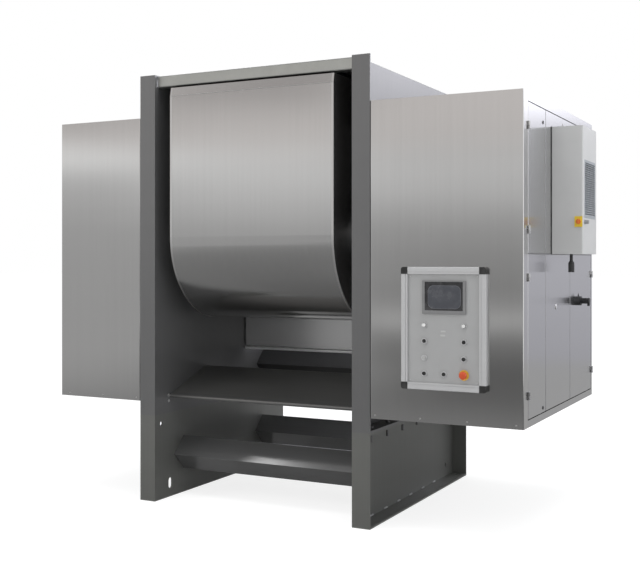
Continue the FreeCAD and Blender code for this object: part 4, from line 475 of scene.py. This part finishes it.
# %% Paint
def paint(name, tone, rough=0.4, peel=900.0, depth=0.00003, cloudiness=0.06, coat=0.0):
    """Sprayed enamel over steel or cast iron."""
    finish, g = finish_graph(name)
    skin = g.noise((1, 1, 1), peel, 2.0)
    dust = g.noise((1, 1, 1), 5.0, 4.0).between(0.35, 0.7)
    dark, light = (tuple(value * share for value in tone) for share in (1 - cloudiness, 1 + cloudiness))
    g.surface({"Base Color": dust.mix(dark, light), "Roughness": rough + dust * 0.08 + skin * 0.05,
               "Coat Weight": coat, "Coat Roughness": 0.2, "Normal": g.bump(skin, depth)})
    return finish


motor_paint = paint("motor_paint", (0.10, 0.14, 0.21), 0.34, 500, coat=0.3)
bracket_paint = paint("bracket_paint", (0.19, 0.2, 0.21), 0.45)
bearing_iron = paint("bearing_iron", (0.13, 0.17, 0.21), 0.5, 220, 0.00025, 0.12)
cooler_paint = paint("cooler_paint", (0.53, 0.53, 0.526), 0.42, 1100, 0.00004, 0.02)
panel_grey = paint("panel_grey", (0.345, 0.345, 0.345), 0.38, 1300, 0.00002, 0.02)
label_white = paint("label_white", (0.43, 0.43, 0.425), 0.5, 1300, 0.00002, 0.02)
print("painted finishes")


# %% [markdown]
# ## Moulded plastic and rubber
# Switches, buttons, the grille and the screen's case are moulded, with a very fine spark-eroded
# texture. Gloss caps have a clear coat. Rubber is duller and picks up grey dust.

# %% Plastic and rubber
def moulded(name, tone, rough=0.4, texture=0.00003, coat=0.0, dust=0.05):
    """Moulded plastic: a fine even texture, and a little dust in its tone."""
    finish, g = finish_graph(name)
    pits = g.noise((1, 1, 1), 2200.0, 1.0)
    haze = g.noise((1, 1, 1), 22.0, 3.0).between(0.4, 0.75)
    dusty = tuple(value + (0.5 - value) * dust for value in tone)
    g.surface({"Base Color": haze.mix(tone, dusty), "Roughness": rough + haze * 0.1,
               "Coat Weight": coat, "Coat Roughness": 0.08, "Normal": g.bump(pits, texture)})
    return finish


grille_plastic = moulded("grille_plastic", (0.29, 0.31, 0.33), 0.5)
fan_plastic = moulded("fan_plastic", (0.10, 0.105, 0.11), 0.42)
control_plastic = moulded("control_plastic", (0.45, 0.46, 0.47), 0.5)
isolator_yellow = moulded("isolator_yellow", (0.78, 0.55, 0.03), 0.35, coat=0.3, dust=0.0)
isolator_red = moulded("isolator_red", (0.66, 0.16, 0.02), 0.35, coat=0.3, dust=0.0)
switch_black = moulded("switch_black", (0.018, 0.018, 0.02), 0.45)
corner_black = moulded("corner_black", (0.018, 0.018, 0.018), 0.38)
screen_grey = moulded("screen_grey", (0.19, 0.19, 0.192), 0.4)
screen_black = moulded("screen_black", (0.012, 0.012, 0.014), 0.12, 0.0, coat=1.0)
screen_slate = moulded("screen_slate", (0.052, 0.055, 0.066), 0.2, 0.0, coat=0.6)
screen_pale = moulded("screen_pale", (0.13, 0.135, 0.15), 0.3, 0.0)
knob_grey = moulded("knob_grey", (0.27, 0.27, 0.28), 0.4)
button_white = moulded("button_white", (0.70, 0.70, 0.69), 0.3, coat=0.5, dust=0.02)
button_pale = moulded("button_pale", (0.385, 0.385, 0.38), 0.35, coat=0.3, dust=0.02)
button_black = moulded("button_black", (0.02, 0.02, 0.02), 0.28, coat=0.6)
stop_red = moulded("stop_red", (0.55, 0.07, 0.015), 0.3, coat=0.6, dust=0.0)
ring_yellow = moulded("ring_yellow", (0.66, 0.37, 0.04), 0.4, dust=0.0)
seam_rubber = moulded("seam_rubber", (0.13, 0.13, 0.135), 0.7, 0.0001, dust=0.1)
seal_rubber = moulded("seal_rubber", (0.035, 0.035, 0.035), 0.7, 0.0001, dust=0.12)
boot_rubber = moulded("boot_rubber", (0.02, 0.02, 0.021), 0.62, 0.00008, dust=0.08)
print("moulded finishes")


# %% Anodised aluminium
def anodised(name, tone, grain):
    """Drawn and anodised profile: long fine die lines under a satin skin."""
    finish, g = finish_graph(name)
    lines = g.noise(grain, 2.0, 3.0, 0.6)
    g.surface({"Base Color": lines.between(0.3, 0.7).mix(tuple(value * 0.93 for value in tone), tone),
               "Metallic": 0.3, "Roughness": 0.36 + lines * 0.08, "Normal": g.bump(lines, 0.00003)})
    return finish


panel_aluminium = anodised("panel_aluminium", (0.55, 0.55, 0.555), (200, 200, 200))

# %% [markdown]
# ## Handing out the finishes
# Each piece of the construction model keeps its mesh and gets its finish in its material slots.

# %% Finish of each piece
FINISHES = {
    frame_steel: ["left_side_frame", "right_side_frame"],
    base_steel: ["left_base_frame", "right_base_frame"],
    bowl_steel: ["bowl_shell", "canopy", "agitator_paddles"],
    highlight_edge_steel: ["bowl_ends"],
    guard_steel: ["rear_guard_panel"],
    step_steel_painted_shade: ["front_step_plate"],
    painted_shade_steel: ["rear_upper_beam"],
    casing_steel: ["left_casing_front", "left_casing_sheets", "right_casing_front", "right_casing_sheets"],
    door_steel: ["side_door_frame", "upper_service_door", "lower_service_door", "cabinet_door",
                 "lower_right_door", "lower_left_panel"],
    beam_steel: ["lower_beams"],
    bar_steel: ["top_bars"],
    bolt_zinc: ["frame_bolts"],
    turned_steel: ["bowl_trunnions", "agitator_shaft"],
    gear_steel: ["bull_gear", "tilt_gear", "drive_pinion", "tilt_pinion"],
    bronze: ["shaft_bushes"],
    seal_rubber: ["shaft_seals"],
    bearing_iron: ["flange_bearings"],
    bracket_paint: ["drive_brackets"],
    motor_paint: ["main_gearmotor", "tilt_gearmotor"],
    control_plastic: ["control_board"],
    hinge_steel: ["door_hinges"],
    cooler_paint: ["ac_housing"],
    grille_plastic: ["ac_grille"],
    fan_plastic: ["ac_fan"],
    boot_rubber: ["condensate_boot"],
    isolator_yellow: ["isolator_plate"],
    isolator_red: ["isolator_knob"],
    switch_black: ["main_switch_base", "main_switch_handle"],
    panel_aluminium: ["panel_frame"],
    corner_black: ["panel_corners"],
    panel_grey: ["panel_plate"],
    screen_grey: ["screen_bezel"],
    collar_satin: ["button_bezels"],
    button_white: ["white_button_left", "white_button_right"],
    button_pale: ["start_button_left"],
    button_black: ["selector_left", "selector_right", "start_button_right", "black_button_left",
                   "black_button_middle"],
    stop_red: ["estop_button"],
}

for finish, names in FINISHES.items():
    for name in names:
        slots = nodes[name].material_slots
        for material_slot in slots:
            material_slot.material = finish
undressed = set(nodes) - {name for names in FINISHES.values() for name in names}
print(len(nodes) - len(undressed), "pieces dressed, left over:", sorted(undressed))

# %% [markdown]
# ## Small pieces
# The construction model stops at the sheets, shafts and switches. What is smaller is built here: the
# screen's glass, screws, locks, weld seams. Each is made at the origin, lying on the XY plane with its
# visible side up, and one matrix turns it to face the front, the right or along a seam.

# %% Placing a small piece
FACING = {"front": Matrix(((1, 0, 0), (0, 0, -1), (0, 1, 0))),
          "right": Matrix(((0, 0, 1), (1, 0, 0), (0, 1, 0))),
          "back": Matrix(((-1, 0, 0), (0, 0, 1), (0, 1, 0))),
          "left": Matrix(((0, 0, -1), (-1, 0, 0), (0, 1, 0)))}


def placed(facing, place):
    """The matrix of a piece that lies on an upright sheet which faces that way."""
    return Matrix.Translation(place) @ FACING[facing].to_4x4()


def along(start, end):
    """The matrix of a piece whose own Z axis runs from start towards end."""
    run = Vector(end) - Vector(start)
    return Matrix.Translation(start) @ run.to_track_quat("Z", "X").to_matrix().to_4x4()


def add_piece(name, bm, finish, body):
    """Turns a bmesh into a piece that rides on a body."""
    bmesh.ops.recalc_face_normals(bm, faces=bm.faces)
    mesh = bpy.data.meshes.new(name)
    bm.to_mesh(mesh)
    bm.free()
    mesh.polygons.foreach_set("use_smooth", [True] * len(mesh.polygons))
    mesh.set_sharp_from_angle(angle=math.radians(32))
    mesh.materials.append(finish)
    piece = bpy.data.objects.new(name, mesh)
    bpy.context.scene.collection.objects.link(piece)
    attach(piece, body)
    return piece


# %% [markdown]
# ## The screen
# The screen's case is in the model, with a shallow window. Behind its front foil lie a black border
# and a slate display with rounded corners, outlined by a thin paler line. Each is a thin plate with
# rounded corners on the one below, swept up from rounded rectangles so that every edge has its bevel.

# %% Rounded plates
def rounded_outline(width, height, corner, steps=6):
    """The points of a rounded rectangle round the origin."""
    points = []
    for i, (side_x, side_y) in enumerate(((1, 1), (-1, 1), (-1, -1), (1, -1))):
        for step in range(steps + 1):
            turn = math.pi / 2 * (i + step / steps)
            points.append((side_x * (width / 2 - corner) + corner * math.cos(turn),
                           side_y * (height / 2 - corner) + corner * math.sin(turn)))
    return points


def rounded_rings(bm, matrix, width, height, corner, profile, closed=False):
    """Joins one rounded rectangle for each (inset, level) of the profile, capped or closed to a ring."""
    rings = []
    for inset, level in profile:
        outline = rounded_outline(width - 2 * inset, height - 2 * inset, max(corner - inset, 0.0002))
        rings.append([bm.verts.new(matrix @ Vector((x, y, level))) for x, y in outline])
    for low, high in zip(rings, rings[1:] + (rings[:1] if closed else [])):
        for i in range(len(low)):
            j = (i + 1) % len(low)
            bm.faces.new((low[i], low[j], high[j], high[i]))
    if not closed:
        bm.faces.new(rings[0])
        bm.faces.new(rings[-1])


def rounded_plate(name, matrix, width, height, corner, thickness, finish, body, bevel=0.0004):
    bm = bmesh.new()
    profile = [(0, 0), (0, thickness - bevel), (bevel, thickness)]
    rounded_rings(bm, matrix, width, height, corner, profile)
    return add_piece(name, bm, finish, body)


low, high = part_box("screen_bezel")
WINDOW_FACE = low[1] + 0.002
DISPLAY = ((low[0] + high[0]) / 2 + 0.0033, (low[2] + high[2]) / 2 + 0.0015)
WINDOW = ((low[0] + high[0]) / 2, (low[2] + high[2]) / 2 + 0.006)
screen_at = placed("front", (DISPLAY[0], WINDOW_FACE, DISPLAY[1]))
rounded_plate("screen_rim", placed("front", (WINDOW[0], WINDOW_FACE, WINDOW[1])), 0.2024, 0.1444, 0.002,
              0.0008, screen_black, "machine_frame")
rounded_plate("screen_line", screen_at, 0.176, 0.1175, 0.030, 0.0011, screen_pale, "machine_frame", 0.0002)
rounded_plate("screen_glass", screen_at, 0.1725, 0.114, 0.0285, 0.0014, screen_slate, "machine_frame",
              0.0002)
print("window face at y", round(WINDOW_FACE, 4))

# %% [markdown]
# ## On the operator panel
# A yellow ring lies under the emergency stop. Two label plates sit in the middle of the buttons; they
# are left bare. The plate is held by a small screw in each corner.

# %% Stop ring, label plates and screws
low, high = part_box("panel_plate")
PANEL_FACE = low[1]
STOP_CENTRE = (1.2665, PANEL_FACE, 0.839)

ring_profile = [(0.0153, 0), (0.026, 0), (0.0268, 0.0006), (0.026, 0.0012), (0.0153, 0.0012), (0.0153, 0)]
add_piece("stop_ring", lathe(ring_profile, 48, placed("front", STOP_CENTRE)), ring_yellow, "machine_frame")
COLLAR_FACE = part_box("button_bezels")[0][1]
# A thin black ring between each white cap and its collar is painted shade, for the dark crescent of shade
# beside the cap.
shade_ring_profile = [(0.0098, 0), (0.0118, 0), (0.0118, 0.0005), (0.0098, 0.0006), (0.0098, 0)]
for name in ("white_button_left", "white_button_right"):
    low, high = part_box(name)
    centre = ((low[0] + high[0]) / 2, COLLAR_FACE, (low[2] + high[2]) / 2)
    bm = lathe(shade_ring_profile, 32, placed("front", centre))
    add_piece(f"{name}_ring", bm, button_black, "machine_frame")
low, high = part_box("panel_plate")
for i, (x, z) in enumerate(((1.157, 1.055), (1.155, 1.034))):
    rounded_plate(f"label_plate_{i + 1}", placed("front", (x, PANEL_FACE, z)), 0.026, 0.009, 0.002, 0.0008,
                  label_white, "machine_frame", 0.0003)


def cap_screw(bm, matrix, radius, rise):
    """A low domed head with a socket in its middle."""
    lathe([(radius, 0), (radius, rise * 0.5), (radius * 0.85, rise * 0.9), (radius * 0.5, rise),
           (radius * 0.42, rise * 0.98), (radius * 0.4, rise * 0.55), (0, rise * 0.5)], 20, matrix, bm)


bm = bmesh.new()
INSET = 0.012
for x in (low[0] + INSET, high[0] - INSET):
    for z in (low[2] + INSET, high[2] - INSET):
        cap_screw(bm, placed("front", (x, PANEL_FACE, z)), 0.003, 0.0014)
add_piece("panel_screws", bm, collar_satin, "machine_frame")
print("panel face at y", round(PANEL_FACE, 4))

# %% [markdown]
# ## Locks, a knob and the cooler's gasket
# Each service door closes with a quarter-turn lock, a small black plug with a square in a dished
# face, and the cover below the cooler has a pale oval plate over its lock. The gaps between the doors
# are filled by grey rubber seals. The cooler has a grey knob near its front edge, and it sits on a
# black foam gasket, which shows as a dark line against the door.

# %% Locks on the doors
DOOR_FACE = 1.565
LOCK_Y = -0.411


def lock_plug(name, y, z, body):
    """A quarter-turn lock: a collar, a dished face and the square of the key."""
    matrix = placed("right", (DOOR_FACE, y, z))
    bm = lathe([(0.0095, 0), (0.0095, 0.0018), (0.0085, 0.0026), (0.0065, 0.0026), (0.0052, 0.0012),
                (0.0, 0.0012)], 28, matrix)
    rounded_rings(bm, matrix, 0.005, 0.005, 0.0004, [(0, 0.001), (0, 0.0026), (0.0003, 0.0029)])
    return add_piece(name, bm, switch_black, body)


lock_plug("upper_service_lock", LOCK_Y, 2.129, "upper_service_door")
lock_plug("lower_service_lock", LOCK_Y, 0.649, "lower_service_door")

rounded_plate("lower_panel_lock", placed("right", (DOOR_FACE, -0.1437, 1.161)), 0.024, 0.026, 0.0115, 0.003,
              screw_steel, "machine_frame", 0.001)

bm = bmesh.new()
for y in (0.005, 0.105):
    cap_screw(bm, placed("right", (DOOR_FACE, y, 2.165)), 0.0055, 0.003)
add_piece("cabinet_top_screws", bm, screw_steel, "cabinet_door")
print("locks on", round(DOOR_FACE, 3))

# %% Seals between the doors
SEAL_WIDTH = 0.0046
SEAL_DEPTH = 0.008
SEAL_SINK = 0.0006
LIFT_OFF_COVER = 0.534


def door_seal(name, low, high, body):
    """A flat rubber strip in the gap between two doors, from (y, z) to (y, z)."""
    middle = (DOOR_FACE - SEAL_SINK - SEAL_DEPTH, (low[0] + high[0]) / 2, (low[1] + high[1]) / 2)
    rounded_plate(name, placed("right", middle), high[0] - low[0], high[1] - low[1], 0.0005, SEAL_DEPTH,
                  seam_rubber, body)


def gap_beside(first, second, axis):
    """The strip's low and high place in the gap between two doors, along Y (1) or Z (2)."""
    middle = (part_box(first)[1][axis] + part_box(second)[0][axis]) / 2
    return middle - SEAL_WIDTH / 2, middle + SEAL_WIDTH / 2


door_low, door_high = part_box("upper_service_door")
foot_low, foot_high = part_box("lower_service_door")
right_low, right_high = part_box("lower_right_door")
gap = gap_beside("upper_service_door", "cabinet_door", 1)
door_seal("service_seal", (gap[0], door_low[2]), (gap[1], door_high[2]), "upper_service_door")
door_seal("panel_seal", (gap[0], foot_low[2]), (gap[1], foot_high[2]), "machine_frame")
gap = gap_beside("lower_left_panel", "lower_right_door", 1)
door_seal("right_seal", (gap[0], right_low[2]), (gap[1], right_high[2]), "machine_frame")
gap = gap_beside("lower_service_door", "upper_service_door", 2)
door_seal("service_foot_seal", (door_low[1], gap[0]), (door_high[1], gap[1]), "upper_service_door")
door_seal("cabinet_foot_seal", (right_low[1] - LIFT_OFF_COVER, gap[0]), (right_high[1], gap[1]),
          "cabinet_door")
print("seals", round((gap[1] - gap[0]) * 1000, 1), "mm wide")

# %% Knob and gasket of the cooler
low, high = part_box("ac_housing")
GASKET = 0.004

knob_at = placed("right", (high[0] - 0.0005, -0.203, 1.6165))
knob_profile = [(0.0, 0), (0.0125, 0), (0.0125, 0.004), (0.0105, 0.006), (0.0105, 0.018), (0.0092, 0.0215),
                (0.0, 0.0222)]
bm = lathe(knob_profile, 28, knob_at)
rounded_rings(bm, knob_at, 0.003, 0.018, 0.0006, [(0, 0.021), (0, 0.0232), (0.0004, 0.0236)])
add_piece("cooler_knob", bm, knob_grey, "cabinet_door")

gasket_at = placed("right", (low[0], (low[1] + high[1]) / 2, (low[2] + high[2]) / 2))
bm = bmesh.new()
gasket_profile = [(0, 0.0002), (0, GASKET - 0.001), (0.001, GASKET), (0.004, GASKET), (0.004, 0.0002)]
rounded_rings(bm, gasket_at, high[1] - low[1] + 0.005, high[2] - low[2] + 0.005, 0.006, gasket_profile,
              closed=True)
add_piece("cooler_gasket", bm, seal_rubber, "cabinet_door")
print("gasket", round(high[1] - low[1], 3), "by", round(high[2] - low[2], 3))

# %% [markdown]
# ## Screws, welds and edges
# Rows of small screws hold the feet of the casings' sheets, on their fronts and backs. The frames' foot
# plates are joined to the webs by short weld beads. Weld metal freezes in ripples, so a bead is a rod
# with a rippled radius. The bowl's lip and the lower edge of the rear guard end in a rolled bead, and
# its lighter steel paints a highlight along it. A dark strip in the corner between the guard and each frame
# paints the shade in that gap.

# %% Screws of the casings
FRONT_FACE = -0.770
SCREW_PITCH = 0.2515
SCREW_HEIGHT = 0.603
FIRST_SCREW = 0.772
SCREW_RADIUS = 0.0048
SCREW_RISE = 0.0026

right_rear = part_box("right_casing_sheets")[1][1]
left_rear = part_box("left_casing_sheets")[1][1]
bm = bmesh.new()
for facing, right_face, left_face in (("front", FRONT_FACE, FRONT_FACE), ("back", right_rear, left_rear)):
    places = [(FIRST_SCREW + SCREW_PITCH * i, right_face) for i in range(4)]
    places += [(-FIRST_SCREW - SCREW_PITCH * i, left_face) for i in range(3)]
    for x, y in places:
        cap_screw(bm, placed(facing, (x, y, SCREW_HEIGHT)), SCREW_RADIUS, SCREW_RISE)
add_piece("casing_screws", bm, screw_steel, "machine_frame")
print("screws on the front and on the rear, at y", FRONT_FACE, "and", round(right_rear, 3))


# %% Beads
def bead(bm, start, end, radius, ripples=0, lump=0.0):
    """A rod with rounded ends, and with ripples along it where it is weld metal."""
    length = (Vector(end) - Vector(start)).length
    count = max(ripples * 4, 2)
    profile = [(0.0, 0.0), (radius * 0.75, radius * 0.3)]
    for i in range(count + 1):
        swell = 1 + lump * math.cos(2 * math.pi * ripples * i / count)
        profile.append((radius * swell, radius + (length - 2 * radius) * i / count))
    profile += [(radius * 0.75, length - radius * 0.3), (0.0, length)]
    lathe(profile, 14, along(start, end), bm)


WELD_PLACES = (-0.539, -0.346, -0.156, 0.029, 0.225, 0.415)
WELD_X = 0.6495
WELD_Z = 0.0165
WELD_HALF = 0.022
WELD_RADIUS = 0.0045
for side, name in ((1, "right"), (-1, "left")):
    bm = bmesh.new()
    x = side * WELD_X
    for y in WELD_PLACES:
        bead(bm, (x, y - WELD_HALF, WELD_Z), (x, y + WELD_HALF, WELD_Z), WELD_RADIUS, 9, 0.12)
    add_piece(f"{name}_foot_welds", bm, weld_steel, "machine_frame")

print("welds at x", WELD_X, "and", -WELD_X)

# %% The bowl's lip
LIP_HALF = 0.527
LIP_Y = -0.769
LIP_Z = 2.367
LIP_RADIUS = 0.0022

# The lip bead's lighter steel paints a highlight along the lip's fold.
bm = bmesh.new()
bead(bm, (-LIP_HALF, LIP_Y, LIP_Z), (LIP_HALF, LIP_Y, LIP_Z), LIP_RADIUS)
add_piece("bowl_lip_bead", bm, highlight_edge_steel, "bowl")
print("lip's edge at z", LIP_Z)

# %% Bolts of the step plate
WEB_FACE = 0.638
STEP_Y = -0.632
BOLT_PROFILE = [(0.0, 0), (0.011, 0), (0.011, 0.002), (0.0075, 0.0022), (0.0072, 0.007), (0.0, 0.0076)]
PLUG_PROFILE = [(0.0, 0), (0.009, 0), (0.009, 0.0022), (0.005, 0.0024), (0.0, 0.0012)]

bm = bmesh.new()
for side in (-1, 1):
    for profile, z in ((BOLT_PROFILE, 0.609), (PLUG_PROFILE, 0.575)):
        lathe(profile, 24, along((side * WEB_FACE, STEP_Y, z), (side * (WEB_FACE - 0.1), STEP_Y, z)), bm)
add_piece("step_bolts", bm, screw_steel, "machine_frame")
print("two bolts at each end of the step plate")

# %% The guard's edges
GUARD_ROLL = 0.010
ROLL_OVERSIZE = 0.0005
CORNER_SHADE_RADIUS = 0.004

low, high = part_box("rear_guard_panel")
roll_y = low[1] + GUARD_ROLL
roll_z = low[2] + GUARD_ROLL
# The roll stands a little proud of the guard, in the lighter steel that paints its highlight.
bm = bmesh.new()
bead(bm, (low[0] + 0.002, roll_y, roll_z), (high[0] - 0.002, roll_y, roll_z), GUARD_ROLL + ROLL_OVERSIZE)
add_piece("guard_roll", bm, highlight_roll_steel, "machine_frame")
# A dark strip in each corner between the guard and the frames is painted shade, for the shade in that
# corner gap.
bm = bmesh.new()
shade_strip_y = high[1] - 0.006
for x in (low[0] + CORNER_SHADE_RADIUS, high[0] - CORNER_SHADE_RADIUS):
    bead(bm, (x, shade_strip_y, low[2] + 0.024), (x, shade_strip_y, high[2] - 0.06), CORNER_SHADE_RADIUS)
add_piece("guard_corner_shade_strips", bm, seal_rubber, "machine_frame")
print("guard's rolled edge at z", round(roll_z, 3))
